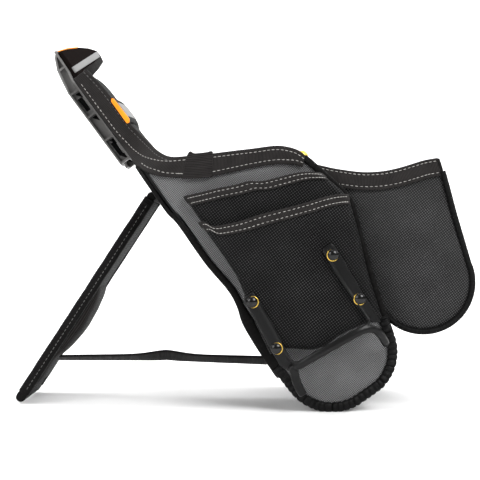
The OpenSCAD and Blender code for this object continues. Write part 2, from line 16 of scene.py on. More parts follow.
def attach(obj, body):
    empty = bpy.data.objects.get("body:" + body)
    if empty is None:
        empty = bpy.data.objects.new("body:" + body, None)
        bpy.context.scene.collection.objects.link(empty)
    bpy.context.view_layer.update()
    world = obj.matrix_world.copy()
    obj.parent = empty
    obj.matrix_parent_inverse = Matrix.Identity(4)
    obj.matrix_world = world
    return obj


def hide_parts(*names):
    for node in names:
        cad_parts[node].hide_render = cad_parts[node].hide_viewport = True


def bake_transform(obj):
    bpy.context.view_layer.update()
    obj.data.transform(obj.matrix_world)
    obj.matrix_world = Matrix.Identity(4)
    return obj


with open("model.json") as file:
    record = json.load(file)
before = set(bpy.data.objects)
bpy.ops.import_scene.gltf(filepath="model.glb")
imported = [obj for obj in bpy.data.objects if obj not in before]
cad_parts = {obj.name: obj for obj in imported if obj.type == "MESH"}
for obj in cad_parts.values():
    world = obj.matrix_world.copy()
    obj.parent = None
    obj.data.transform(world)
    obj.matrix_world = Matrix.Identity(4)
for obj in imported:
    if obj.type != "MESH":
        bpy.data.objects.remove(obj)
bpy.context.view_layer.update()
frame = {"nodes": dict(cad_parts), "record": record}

# %% [markdown]
# ## Two drawing frames
# The pouch leans back, but it is easier to draw upright: x forward, y across, z up its back, in millimetres.
# The kickstand is drawn hanging straight down from its hinge line. Two matrices put both in place.
# The hinge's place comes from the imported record, so the drawing follows the CAD.

# %% The two drawing frames
LEAN = math.radians(36.5)
HINGE = Vector((-5.6, 0, 236.6))
STAND_LENGTH = 202
hinge_at = Vector(frame["record"]["behaviour"]["joints"][0]["pos_m"])
MM = Matrix.Scale(0.001, 4)
POUCH = (Matrix.Translation(hinge_at) @ Matrix.Rotation(-LEAN, 4, "Y") @ MM
         @ Matrix.Translation(-HINGE))
stand_tilt = math.acos((hinge_at.z * 1000 - 4) / STAND_LENGTH)
STAND = Matrix.Translation(hinge_at) @ Matrix.Rotation(stand_tilt, 4, "Y") @ MM
print("kickstand tilt in degrees:", round(math.degrees(stand_tilt), 2))

# %% [markdown]
# ## Curves
# A sewn edge is a smooth line through a few chosen points. A Catmull-Rom curve passes through its points,
# which makes it easy to place, and even spacing along it keeps the cloth's grid and the stitches regular.

# %% Curve helpers
def arc(cx, cz, r, start, end, n):
    return [(cx + r * math.cos(math.radians(start + (end - start) * i / n)),
             cz + r * math.sin(math.radians(start + (end - start) * i / n))) for i in range(n + 1)]


def smooth(points, count):
    """count + 1 evenly spaced points on a smooth curve through the points."""
    p = [Vector(q) for q in points]
    p = [2 * p[0] - p[1]] + p + [2 * p[-1] - p[-2]]
    dense = []
    for i in range(1, len(p) - 2):
        a, b, c, d = p[i - 1:i + 3]
        for k in range(12):
            t = k / 12
            dense.append(0.5 * (2 * b + (c - a) * t + (2 * a - 5 * b + 4 * c - d) * t * t
                                + (3 * b - a - 3 * c + d) * t ** 3))
    dense.append(p[-2])
    return evenly(dense, count)


def evenly(dense, count):
    run = [0.0]
    for a, b in zip(dense, dense[1:]):
        run.append(run[-1] + (b - a).length)
    out, k = [], 0
    for i in range(count + 1):
        s = run[-1] * i / count
        while k < len(run) - 2 and run[k + 1] < s:
            k += 1
        step = run[k + 1] - run[k]
        out.append(dense[k].lerp(dense[k + 1], (s - run[k]) / step if step else 0))
    return out


def length(path):
    return sum((b - a).length for a, b in zip(path, path[1:]))


def at(path, t):
    """The point a share t of the way along an evenly spaced path."""
    s = min(max(t, 0), 1) * (len(path) - 1)
    i = min(int(s), len(path) - 2)
    return path[i].lerp(path[i + 1], s - i)


def ease(t):
    t = min(max(t, 0), 1)
    return t * t * (3 - 2 * t)


def round_over(w, radius):
    """The height of a rounded edge: 0 at the edge, 1 from a radius away."""
    return math.sqrt(max(0, 1 - (1 - min(w / radius, 1)) ** 2))


def grooves(w, rows, width):
    """1 where a stitched row pulls a tape in, and 0 away from the rows."""
    return sum(math.exp(-((w - row) / width) ** 2) for row in rows)


def wander(a, b, size):
    """Smooth unevenness between -1 and 1, the same on every run."""
    return noise.noise(Vector((a / size, b / size, 3.7)))


print("curve test:", round(length(smooth([(0, 0), (10, 0), (20, 0)], 8)), 3), "mm")

# %% [markdown]
# ## Cloth panels and swept bindings
# A panel is a flat grid whose points are moved onto a curved surface. Its own UV map stays in millimetres,
# so that a weave keeps its real scale wherever the cloth goes. A Solidify modifier gives it thickness and a
# subdivision softens its cut edges. A binding, cord or rail is a ring that is extruded along a path.

# %% Panels
def panel(nu, nv, place, cloth=None):
    """A grid with place(a, b) giving each point, a and b from 0 to 1, and cloth(a, b) its UV in mm."""
    bm = bmesh.new()
    bmesh.ops.create_grid(bm, x_segments=nu, y_segments=nv, size=0.5)
    uv = bm.loops.layers.uv.new("cloth")
    spot = {v: (v.co.x + 0.5, v.co.y + 0.5) for v in bm.verts}
    for v, (a, b) in spot.items():
        v.co = place(a, b)
    for f in bm.faces:
        for loop in f.loops:
            a, b = spot[loop.vert]
            loop[uv].uv = cloth(a, b) if cloth else (loop.vert.co.x, loop.vert.co.z)
    return bm


def coons(bottom, top, left, right):
    """A surface patch between four edge curves that meet at their ends."""
    def point(a, b):
        c00, c10, c01, c11 = bottom[0], bottom[-1], top[0], top[-1]
        return ((1 - b) * at(bottom, a) + b * at(top, a) + (1 - a) * at(left, b) + a * at(right, b)
                - ((1 - a) * (1 - b) * c00 + a * (1 - b) * c10 + (1 - a) * b * c01 + a * b * c11))
    return point


def closed(bm):
    """Fills the open rim of a crowned grid, so that it is one closed form."""
    bmesh.ops.holes_fill(bm, edges=[e for e in bm.edges if e.is_boundary], sides=0)
    bmesh.ops.triangulate(bm, faces=[f for f in bm.faces if len(f.verts) > 4])
    bmesh.ops.recalc_face_normals(bm, faces=bm.faces)
    return bm


# %% Swept pieces
def ellipse(a, b, n=12, power=2.0):
    """A closed ring, from round (power 2) to nearly rectangular (power 5)."""
    ring = []
    for i in range(n):
        t = 2 * math.pi * (i + 0.5) / n
        c, s = math.cos(t), math.sin(t)
        ring.append((a * math.copysign(abs(c) ** (2 / power), c),
                     b * math.copysign(abs(s) ** (2 / power), s)))
    return ring


def sweep(path, ring_at, out_at, bm=None):
    """A ring extruded along a path. ring_at(t) gives (out, side) points and out_at(t) the out axis."""
    bm = bm or bmesh.new()
    uv = bm.loops.layers.uv.verify()
    spots, run, face, total = {}, 0.0, None, 1.0
    for i, p in enumerate(path):
        t = i / (len(path) - 1)
        ahead = path[min(i + 1, len(path) - 1)] - path[max(i - 1, 0)]
        out = Vector(out_at(t)).normalized()
        way = (ahead - out * ahead.dot(out)).normalized()
        side = way.cross(out)
        ring = [p + out * a + side * b for a, b in ring_at(t)]
        if i:
            run += (p - path[i - 1]).length
        if face is None:
            face = bm.faces.new([bm.verts.new(q) for q in ring])
            girth = [0.0]
            for q0, q1 in zip(ring, ring[1:]):
                girth.append(girth[-1] + (q1 - q0).length)
            total = girth[-1] + (ring[0] - ring[-1]).length
        else:
            grown = bmesh.ops.extrude_face_region(bm, geom=[face])["geom"]
            face = next(g for g in grown if isinstance(g, bmesh.types.BMFace))
            for loop, q in zip(face.loops, ring):
                loop.vert.co = q
        for loop, g in zip(face.loops, girth):
            spots[loop.vert] = (run, g)
    for v in spots:
        for f in v.link_faces:
            span = [spots[w][1] for w in f.verts if w in spots]
            wraps = max(span) - min(span) > total / 2
            for loop in f.loops:
                s, g = spots[loop.vert]
                loop[uv].uv = (s, g + total if wraps and g < total / 2 else g)
    bmesh.ops.recalc_face_normals(bm, faces=bm.faces)
    return bm


def spun(profile, centre, axis, steps=24, bm=None):
    """A turned shape: profile points (radius, height) spun round an axis."""
    bm = bm or bmesh.new()
    before = set(bm.verts)
    line = [bm.verts.new((r, 0, h)) for r, h in profile]
    edges = [bm.edges.new(pair) for pair in zip(line, line[1:])]
    bmesh.ops.spin(bm, geom=line + edges, cent=(0, 0, 0), axis=(0, 0, 1), steps=steps,
                   angle=2 * math.pi, use_merge=True)
    turned = [v for v in bm.verts if v not in before]
    turn = Vector((0, 0, 1)).rotation_difference(Vector(axis)).to_matrix().to_4x4()
    bmesh.ops.transform(bm, matrix=Matrix.Translation(centre) @ turn, verts=turned)
    bmesh.ops.remove_doubles(bm, verts=bm.verts, dist=0.0005)
    bmesh.ops.recalc_face_normals(bm, faces=bm.faces)
    return bm


def block(points, y0, y1, bevel=0.6, segments=2, bm=None):
    """A side-view outline of (x, z) points, extruded from y0 to y1 with its edges rounded."""
    bm = bm or bmesh.new()
    face = bm.faces.new([bm.verts.new((x, y0, z)) for x, z in points])
    grown = bmesh.ops.extrude_face_region(bm, geom=[face])["geom"]
    verts = [g for g in grown if isinstance(g, bmesh.types.BMVert)]
    bmesh.ops.translate(bm, vec=(0, y1 - y0, 0), verts=verts)
    edges = list({e for v in verts + list(face.verts) for e in v.link_edges})
    if bevel:
        bmesh.ops.bevel(bm, geom=edges, offset=bevel, offset_type="OFFSET", segments=segments,
                        profile=0.5, affect="EDGES", material=-1, clamp_overlap=True)
    bmesh.ops.recalc_face_normals(bm, faces=bm.faces)
    return bm


# %% Stitches
def stitches(path, out_at, pitch=3.6, long=2.7, thick=0.55, bm=None):
    """A row of short thread humps along a path."""
    bm = bm or bmesh.new()
    count = max(2, int(length(path) / pitch))
    for i in range(count):
        t = (i + 0.5) / count
        p = at(path, t)
        way = (at(path, t + 0.4 / count) - at(path, t - 0.4 / count)).normalized()
        out = Vector(out_at(p)).normalized()
        side = way.cross(out).normalized()
        turn = Matrix((way * long, side * thick, out * thick * 0.8)).transposed().to_4x4()
        bmesh.ops.create_uvsphere(bm, u_segments=6, v_segments=4, radius=0.5,
                                  matrix=Matrix.Translation(p) @ turn)
    return bm


# %% Putting a finished mesh in place
def piece(name, bm, finish, place=None, body="pouch", stands_for=(), thick=0, facing=None,
          round_off=1, smooth_faces=True):
    """Moves the mesh into the shared frame, gives it its finish and makes it ride on its body."""
    if facing:
        bm.normal_update()
        want = Vector(facing)
        if sum((f.normal * f.calc_area()).dot(want) for f in bm.faces) < 0:
            bmesh.ops.reverse_faces(bm, faces=bm.faces)
    bmesh.ops.transform(bm, matrix=place or POUCH, verts=bm.verts)
    mesh = bpy.data.meshes.new(name)
    bm.to_mesh(mesh)
    bm.free()
    mesh.materials.append(finish)
    for poly in mesh.polygons:
        poly.use_smooth = smooth_faces
    obj = bpy.data.objects.new(name, mesh)
    bpy.context.scene.collection.objects.link(obj)
    if thick:
        wall = obj.modifiers.new("cloth_thickness", "SOLIDIFY")
        wall.thickness = thick / 1000
        wall.offset = -1
    if round_off:
        soft = obj.modifiers.new("soft_edges", "SUBSURF")
        soft.levels = soft.render_levels = round_off
    if stands_for:
        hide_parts(*stands_for)
    if body:
        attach(obj, body)
    print(f"{name}: {len(mesh.polygons)} faces")
    return obj


SIDES = (("right", -1), ("left", 1))

# %% [markdown]
# ## Finishes
# The cloth is heavy nylon: thick threads that pass over and under each other, with a gap between. A checker
# says which thread is on top, and a sine across each thread makes it round. The same height drives the colour
# and the bump, so the colour holds painted shade in the gaps between threads and a painted highlight on the
# thread crowns. The patterns read the cloth's own UV map, so they follow every curve.

# %% Node helpers
class Nodes:
    """Adds nodes to a material and links them by socket name."""

    def __init__(self, name):
        self.material = bpy.data.materials.new(name)
        self.material.use_nodes = True
        self.tree = self.material.node_tree
        self.shader = self.tree.nodes["Principled BSDF"]

    def add(self, kind, inputs=None, **settings):
        node = self.tree.nodes.new("ShaderNode" + kind)
        for key, value in settings.items():
            setattr(node, key, value)
        for key, value in (inputs or {}).items():
            if isinstance(value, bpy.types.NodeSocket):
                self.tree.links.new(value, node.inputs[key])
            else:
                node.inputs[key].default_value = value
        return node

    def math(self, operation, a, b=None):
        node = self.add("Math", {0: a} if b is None else {0: a, 1: b}, operation=operation)
        return node.outputs[0]

    def ramp(self, factor, stops):
        node = self.add("ValToRGB", {"Fac": factor})
        bar = node.color_ramp
        while len(bar.elements) < len(stops):
            bar.elements.new(0.5)
        for element, (where, colour) in zip(bar.elements, stops):
            element.position = where
            element.color = (*colour, 1)
        return node.outputs["Color"]

    def shade(self, **values):
        for key, value in values.items():
            socket = self.shader.inputs[key.replace("_", " ")]
            if isinstance(value, bpy.types.NodeSocket):
                self.tree.links.new(value, socket)
            else:
                socket.default_value = value
        return self.material


def upright(n):
    """Object coordinates turned to the pouch's own upright frame, in mm."""
    spot = n.add("TexCoord").outputs["Object"]
    return n.add("Mapping", {"Vector": spot, "Rotation": (0, LEAN, 0),
                             "Scale": (1000, 1000, 1000)}).outputs["Vector"]


# %% Woven cloth
def woven(name, gap_shade, thread, crown_highlight, pitch, turn, sheen, rough=0.62, depth=0.35, spec=0.3):
    n = Nodes(name)
    uv = n.add("UVMap", uv_map="cloth").outputs["UV"]
    spot = n.add("Mapping", {"Vector": uv, "Rotation": (0, 0, math.radians(turn)),
                             "Location": (0, 0, 0.5), "Scale": (1 / pitch, 1 / pitch, 1)}).outputs["Vector"]
    parts = n.add("SeparateXYZ", {"Vector": spot}).outputs
    over = n.add("TexChecker", {"Vector": spot, "Scale": 1.0}).outputs["Fac"]
    across = n.math("ABSOLUTE", n.math("SINE", n.math("MULTIPLY", parts["X"], math.pi)))
    along = n.math("ABSOLUTE", n.math("SINE", n.math("MULTIPLY", parts["Y"], math.pi)))
    height = n.add("Mix", {0: over, 2: across, 3: along}, data_type="FLOAT").outputs[0]
    crimp = n.add("Mix", {0: over, 2: along, 3: across}, data_type="FLOAT").outputs[0]
    height = n.math("MULTIPLY", height, n.math("ADD", n.math("MULTIPLY", crimp, 0.5), 0.5))
    tone = n.add("TexNoise", {"Vector": uv, "Scale": 0.03, "Detail": 3.0}).outputs["Fac"]
    fibre = n.add("TexNoise", {"Vector": uv, "Scale": 1.3, "Detail": 2.0}).outputs["Fac"]
    level = n.math("ADD", height, n.math("MULTIPLY", n.math("SUBTRACT", tone, 0.5), 0.35))
    level = n.math("ADD", level, n.math("MULTIPLY", n.math("SUBTRACT", fibre, 0.5), 0.3))
    # Colour from the thread height: painted shade in the gaps between threads, painted highlight on the thread
    # crowns.
    colour = n.ramp(level, [(0.15, gap_shade), (0.6, thread), (1.0, crown_highlight)])
    bump = n.add("Bump", {"Height": height, "Strength": 0.9, "Distance": depth / 1000})
    return n.shade(Base_Color=colour, Roughness=rough, Normal=bump.outputs["Normal"],
                   Sheen_Weight=sheen, Sheen_Roughness=0.45, Specular_IOR_Level=spec)


weave_grey = woven("weave_grey", (0.02, 0.02, 0.0205), (0.095, 0.095, 0.096), (0.21, 0.21, 0.214),
                   1.35, 0, 0.02, spec=0.15)
weave_black = woven("weave_black", (0.0003, 0.0003, 0.0003), (0.0022, 0.0022, 0.0022), (0.034, 0.034, 0.0345),
                    1.9, 0, 0.0, rough=0.65, spec=0.06)
# The pocket is the same black nylon, given here as a brighter lit copy: painted sheen where the pocket faces
# the light.
weave_pocket_lit = woven("weave_pocket_lit", (0.001, 0.001, 0.001), (0.012, 0.012, 0.0122), (0.062, 0.062, 0.063),
                     1.75, 0, 0.01, rough=0.6, spec=0.15)
weave_lining = woven("weave_lining", (0.003, 0.003, 0.003), (0.010, 0.010, 0.010), (0.025, 0.025, 0.025),
                     2.6, 38, 0.02, rough=0.8, spec=0.15)


# %% Tape, webbing and cord
def ribbed(name, groove_shade, rib, pitch, turn=0, rough=0.7, sheen=0.01, cross=0.35):
    """Ribs along the width, with a finer weave over them. It reads the cloth's UV map in mm. The colour
    follows the rib height, with painted shade in the grooves.
    """
    n = Nodes(name)
    uv = n.add("UVMap", uv_map="cloth").outputs["UV"]
    spot = n.add("Mapping", {"Vector": uv, "Rotation": (0, 0, math.radians(turn)),
                             "Scale": (1 / pitch, 1 / (pitch * 0.8), 1)}).outputs["Vector"]
    parts = n.add("SeparateXYZ", {"Vector": spot}).outputs
    ribs = n.math("ABSOLUTE", n.math("SINE", n.math("MULTIPLY", parts["X"], math.pi)))
    weft = n.math("ABSOLUTE", n.math("SINE", n.math("MULTIPLY", parts["Y"], math.pi)))
    height = n.math("ADD", n.math("MULTIPLY", ribs, 1 - cross), n.math("MULTIPLY", weft, cross))
    wear = n.add("TexNoise", {"Vector": uv, "Scale": 0.12, "Detail": 4.0}).outputs["Fac"]
    level = n.math("ADD", height, n.math("MULTIPLY", n.math("SUBTRACT", wear, 0.5), 0.5))
    # Colour from the rib height: painted shade in the grooves between the ribs.
    colour = n.ramp(level, [(0.2, groove_shade), (0.95, rib)])
    bump = n.add("Bump", {"Height": height, "Strength": 0.8, "Distance": 0.00025})
    return n.shade(Base_Color=colour, Roughness=rough, Normal=bump.outputs["Normal"],
                   Sheen_Weight=sheen, Sheen_Roughness=0.5, Specular_IOR_Level=0.1)


tape_cloth = ribbed("binding_tape", (0.002, 0.0018, 0.0017), (0.020, 0.018, 0.0175), 1.1)
webbing = ribbed("webbing", (0.002, 0.0018, 0.0017), (0.019, 0.017, 0.0165), 1.4, cross=0.15)
cord_cloth = ribbed("piping_cord", (0.0015, 0.0015, 0.0015), (0.010, 0.010, 0.010), 0.9, turn=30, rough=0.6)
gather_cloth = ribbed("gathered_tape", (0.003, 0.003, 0.003), (0.032, 0.032, 0.033), 0.8, rough=0.45)


# %% Thread
def thread_finish(name, dark, light):
    n = Nodes(name)
    spot = upright(n)
    tone = n.add("TexNoise", {"Vector": spot, "Scale": 0.4, "Detail": 2.0}).outputs["Fac"]
    colour = n.ramp(tone, [(0.3, dark), (0.7, light)])
    return n.shade(Base_Color=colour, Roughness=0.75, Sheen_Weight=0.05)


thread = thread_finish("light_thread", (0.2, 0.19, 0.18), (0.42, 0.41, 0.39))
dark_thread = thread_finish("dark_thread", (0.03, 0.03, 0.028), (0.09, 0.088, 0.084))


# %% [markdown]
# ## Moulded finishes
# Moulded nylon has a fine spark-eroded grain, small colour drift, and lighter worn edges. The grain reads
# Object coordinates. The brass and the steel get fine scratches in their roughness.

# %% Plastics and metals
def moulded(name, dark, light, rough, grain=0.12, spec=0.5, scale=2.2, radius=0):
    n = Nodes(name)
    spot = upright(n)
    fine = n.add("TexNoise", {"Vector": spot, "Scale": scale, "Detail": 3.0}).outputs["Fac"]
    broad = n.add("TexNoise", {"Vector": spot, "Scale": 0.05, "Detail": 3.0}).outputs["Fac"]
    edge = n.add("NewGeometry").outputs["Pointiness"]
    worn = n.ramp(edge, [(0.49, (0, 0, 0)), (0.58, (1, 1, 1))])
    level = n.math("ADD", n.math("MULTIPLY", broad, 0.8), n.math("MULTIPLY", worn, 0.35))
    colour = n.ramp(level, [(0.25, dark), (0.75, light)])
    gloss = n.math("ADD", n.math("MULTIPLY", fine, 0.16), rough - 0.08)
    bump = n.add("Bump", {"Height": fine, "Strength": 0.5, "Distance": grain / 1000})
    if radius:
        rounded = n.add("Bevel", {"Radius": radius / 1000}, samples=6)
        n.tree.links.new(rounded.outputs["Normal"], bump.inputs["Normal"])
    return n.shade(Base_Color=colour, Roughness=gloss, Normal=bump.outputs["Normal"],
                   Specular_IOR_Level=spec)


hub_plastic = moulded("hub_plastic", (0.05, 0.048, 0.046), (0.11, 0.107, 0.104), 0.45, radius=0.5)
grip_black = moulded("grip_black", (0.004, 0.0022, 0.002), (0.006, 0.004, 0.0036), 0.7, spec=0.05)
band_grey = moulded("band_grey", (0.15, 0.15, 0.15), (0.24, 0.24, 0.24), 0.5, spec=0.2)
amber = moulded("amber_line", (0.74, 0.2, 0.004), (0.84, 0.26, 0.007), 0.4, spec=0.25)
guard_black = moulded("guard_black", (0.0025, 0.0025, 0.0026), (0.005, 0.005, 0.0051), 0.33, grain=0.04,
                      spec=0.17)
cap_black = moulded("cap_black", (0.002, 0.002, 0.002), (0.004, 0.004, 0.004), 0.16, grain=0.03, spec=0.3)
rubber = moulded("badge_rubber", (0.002, 0.002, 0.002), (0.004, 0.004, 0.004), 0.6, spec=0.03)
board_sheet = moulded("stiffener_sheet", (0.012, 0.012, 0.012), (0.02, 0.02, 0.02), 0.55, spec=0.2)


def metal(name, colour, dull, rough):
    n = Nodes(name)
    spot = upright(n)
    scratch = n.add("TexNoise", {"Vector": spot, "Scale": 1.5, "Detail": 6.0}).outputs["Fac"]
    tone = n.ramp(scratch, [(0.35, dull), (0.6, colour)])
    gloss = n.math("ADD", n.math("MULTIPLY", scratch, 0.25), rough)
    return n.shade(Base_Color=tone, Metallic=1.0, Roughness=gloss)


brass = metal("brass", (0.85, 0.58, 0.12), (0.5, 0.32, 0.06), 0.18)
steel = metal("rivet_steel", (0.6, 0.6, 0.6), (0.35, 0.35, 0.36), 0.25)
print("finishes:", len(bpy.data.materials))

# %% [markdown]
# ## Hub, grip, band and amber line
# The hub is an injection-moulded box with ribs and recessed cells. Its CAD shape is right, so it stays, and
# its finish rounds the edges in the light with a Bevel node. The simpler grip pieces are copied, welded
# and truly bevelled: each copy stands for its CAD node.

# %% Rounded copies of the moulded CAD pieces
def rounded_copy(node, name, finish, width, body="pouch"):
    bm = bmesh.new()
    bm.from_mesh(frame["nodes"][node].data)
    bmesh.ops.remove_doubles(bm, verts=bm.verts, dist=0.00001)
    bmesh.ops.dissolve_limit(bm, angle_limit=math.radians(1), verts=bm.verts, edges=bm.edges,
                             delimit={"NORMAL"})
    obj = piece(name, bm, finish, place=Matrix.Identity(4), body=body, stands_for=[node],
                round_off=0, smooth_faces=False)
    soft = obj.modifiers.new("small_radii", "BEVEL")
    soft.width = width / 1000
    soft.segments = 2
    soft.limit_method = "ANGLE"
    soft.angle_limit = math.radians(25)
    return obj


rounded_copy("hub_grip", "hub_grip_cap", grip_black, 0.6)
rounded_copy("hub_grip_band", "hub_band", band_grey, 0.4)
rounded_copy("hub_inlay", "hub_amber_line", amber, 0.2)

# %% Finishes for the CAD pieces that stay
for node, finish in (("hub_body", hub_plastic), ("hub_rivets", steel), ("back_stiffener", board_sheet),
                     ("stand_board", board_sheet)):
    frame["nodes"][node].data.materials.clear()
    frame["nodes"][node].data.materials.append(finish)
print("CAD pieces kept: hub_body, hub_rivets, back_stiffener, stand_board")

# %% Dark backs of the hub's slots and windows: painted shade
# Black sheets behind the slots stand for the black plastic and the shade inside them. The triangular windows
# under the ribs and their black backs are painted rib shadows.
WALL_IN, WALL_OUT = 30.6, 31.8
SLOT_FEET = (280.5, 326.5)
SHADOW_WINDOW_TOPS = (282, 297.5, 321.5, 345.5)
bm = bmesh.new()
for s in (-1, 1):
    for z in SLOT_FEET:
        block([(-7, z + 0.3), (-3.2, z + 0.3), (-3.2, z + 12.7), (-7, z + 12.7)], s * WALL_IN, s * WALL_OUT,
              0.2, 1, bm)
    for z in SHADOW_WINDOW_TOPS:
        block([(-7, z - 1.1), (-1.9, z - 1.1), (-1.9, z - 8)], s * WALL_IN, s * WALL_OUT, 0.1, 1, bm)
piece("hub_slot_and_shadow_backs", bm, rubber, round_off=0)

# %% [markdown]
# ## Back panel
# The back panel is a sandwich: an outer skin, a stiffener sheet and a pad. It isn't straight from the side:
# it bulges backwards near its foot and its sewn edge waves a little. The edge binding hides the layers.

# %% Back panel curves
BACK = smooth([(-9, 60), (-8.2, 78), (-7, 95), (-5, 109), (-0.6, 122), (1.2, 137), (-0.6, 165), (0.3, 203),
               (-1.2, 216), (-0.4, 243), (0, 271), (0, 300), (0, 352)], 160)
BACK_T = 7.5
BACK_FOOT, BACK_TOP = 60, 352
SEAM = 1.5


def back_x(z):
    low, high = 0, len(BACK) - 1
    while high - low > 1:
        mid = (low + high) // 2
        low, high = (mid, high) if BACK[mid].y <= z else (low, mid)
    a, b = BACK[low], BACK[high]
    return a.x + (b.x - a.x) * min(max((z - a.y) / (b.y - a.y), 0), 1)


def flank_y(z):
    """Half the width of the back panel: full below the mouth, narrow at the top."""
    return 85 - 33 * ease((z - 243) / 43)


def back_layer(depth, inset):
    def place(a, b):
        z = BACK_FOOT + (BACK_TOP - BACK_FOOT) * b
        y = (2 * a - 1) * (flank_y(z) - inset)
        puff = 0.5 * wander(y, z, 30)
        return Vector((back_x(z) + depth + puff, y, z))
    return panel(34, 60, place, lambda a, b: (a * 170, b * 292))


piece("back_outer_skin", back_layer(0, SEAM), weave_black, stands_for=["back_skin"],
      thick=2.3, facing=(-1, 0, 0))
lining = piece("back_inner_pad", back_layer(BACK_T, SEAM), weave_lining, stands_for=["back_pad"],
               thick=2.6, facing=(1, 0, 0))

# %% Edge binding of the back panel
BIND_FOOT, BIND_RUN = 56, 206


def edge_width(z):
    """Half the binding's width in the side view: slim below the hub, fuller towards the foot."""
    return 1.6 + 1.5 * ease((236 - z) / 90) + 2.0 * ease((122 - z) / 16)


for label, s in SIDES:
    path = []
    for i in range(101):
        z = BIND_FOOT + BIND_RUN * i / 100
        y = flank_y(z) - 1.0 + 0.4 * wander(z, 0, 14)
        path.append(Vector((back_x(z) + edge_width(z) - 0.9, s * y, z)))
    ring = lambda t: [(a * (1 + 0.08 * wander(200 * t, 5, 6)), b)
                      for a, b in ellipse(2.8, edge_width(BIND_FOOT + BIND_RUN * t), 12, 3)]
    bm = sweep(path, ring, lambda t, s=s: (0, s, 0))
    piece(f"back_edge_binding_{label}", bm, tape_cloth)

# %% [markdown]
# ## Tongue cushion
# The part above the mouth is padded and stuffed. It is a crowned closed form: full in the middle, and
# drawn in where it is sewn down round its outline. Its flat back rests on the back panel.

# %% Tongue cushion
FRONT = smooth([(9, 238), (16, 244), (19.5, 256), (19, 270), (17.8, 286), (17.6, 300), (17.6, 328), (17, 340),
                (15.2, 352)], 60)


def cushion_point(a, b):
    p = at(FRONT, b)
    half = flank_y(p.y) - 3
    u = 2 * a - 1
    rise = (1 - abs(u) ** 5) ** 0.45 * (1 - abs(2 * b - 1) ** 14) ** 0.4
    crown = 2.8 * math.cos(u * math.pi / 2)
    channel = 0.9 * math.exp(-((abs(u) * half - half + 12) / 2.2) ** 2)
    return Vector((BACK_T + (p.x - BACK_T - 1.2 + crown - channel) * rise, u * half, p.y))


bm = closed(panel(44, 44, cushion_point, lambda a, b: (a * 110, b * 120)))
cushion = piece("tongue_pad", bm, weave_black, stands_for=["tongue_cushion"], round_off=0)

# %% [markdown]
# ## Badge
# A plain moulded rubber saddle across the tongue: a crowned black body, an amber strip at each end and a
# ribbed light bar in the middle. It carries no lettering.

# %% Badge
BADGE_HALF = 54
CUSHION_X = 16.9


def badge_front(y):
    """The badge's front: highest in the middle, falling to each end."""
    return 22.0 - 3.8 * min(abs(y) / BADGE_HALF, 1) ** 1.3


def badge_point(a, b):
    u, v = 2 * a - 1, 2 * b - 1
    rim = (1 - abs(u) ** 18) ** 0.3 * (1 - abs(v) ** 12) ** 0.4
    return Vector((CUSHION_X + (badge_front(u * BADGE_HALF) - CUSHION_X) * rim, u * 54.4, 308.5 + 12.5 * v))


piece("badge_body", closed(panel(60, 28, badge_point)), rubber, stands_for=["badge_base"],
      round_off=0)
bm = bmesh.new()
for s in (-1, 1):
    block([(14.5, 296), (16.8, 295.2), (18.7, 297.6), (18.2, 318.6), (17.0, 320.2), (14.9, 318.4)],
          s * 53.6, s * 56, 0.7, 3, bm)
piece("badge_amber_ends", bm, amber, stands_for=["badge_flanks"], round_off=0)

def bar_point(a, b):
    """Nine ribs that run along the bar, which follows the badge's front."""
    y = (2 * a - 1) * 50
    edge = (1 - abs(2 * a - 1) ** 40) ** 0.4 * (1 - abs(2 * b - 1) ** 16) ** 0.4
    rib = 0.5 * abs(math.sin(math.pi * 9 * b)) ** 0.6
    return Vector((badge_front(y) - 0.9 + (1.0 + rib) * edge, y, 301 + 14.5 * b))


piece("badge_ribbed_bar", closed(panel(72, 90, bar_point)), band_grey, stands_for=["badge_bar"],
      round_off=0)

# %% [markdown]
# ## Compartment: side panels and the wrap-round wall
# Each side panel is one piece of grey cloth with a round lower end. The load pushes it outwards, so it is
# crowned, most of all near the bottom. A Coons patch fills the space between its four sewn edges.

# %% The compartment's outline
RIM = arc(34.5, 43, 41.5, 180, 265, 12) + arc(48.5, 40, 39, 275, 345, 10)
U_EDGE = smooth([(-7.6, 59.5)] + RIM, 220)
FRONT_EDGE = smooth([RIM[-1], (96, 62), (110, 100), (120.5, 127), (123.6, 138), (121, 158), (114.6, 187)], 80)
TAPE = smooth([(15, 352, 0.2, 352), (16.8, 338, 0.2, 338), (17.6, 326, 0.4, 326), (17.6, 296, 0.4, 296),
               (18.4, 287, 0.2, 284), (21, 270, 0.8, 264), (22.9, 260, 4.4, 252), (28.3, 250.3, 12, 241.2),
               (41, 241.8, 26.7, 229), (55, 233.5, 42.5, 218.6), (71, 224.5, 60, 210.3), (84, 217, 74, 203.8),
               (100, 208, 89, 196.2), (108, 201, 97, 190.6), (113, 194, 103.5, 185), (115.2, 187, 107, 180)],
              150)
TAPE_TOP = [Vector((q[0], q[1])) for q in TAPE]
TAPE_LOW = [Vector((q[2], q[3])) for q in TAPE]


def inwards(path, d):
    """The (x, z) path moved to its left by d."""
    out = []
    for i, p in enumerate(path):
        way = path[min(i + 1, len(path) - 1)] - path[max(i - 1, 0)]
        out.append(p + Vector((-way.y, way.x)).normalized() * d)
    return out


# %% Side panels
low_edge = inwards(U_EDGE, 2)
back_edge = [Vector((back_x(z) + 5, z)) for z in (60 + 190 * i / 60 for i in range(61))]
low_edge[0] = back_edge[0].copy()
front_edge = evenly([low_edge[-1]] + inwards(FRONT_EDGE, 2)[3:], 60)
under_tape = [p + Vector((0.6, 2.5)) for p in TAPE_LOW if p.y < 250]
under_tape = evenly([back_edge[-1]] + under_tape[2:] + [front_edge[-1]], 60)
patch = coons(low_edge, under_tape, back_edge, front_edge)


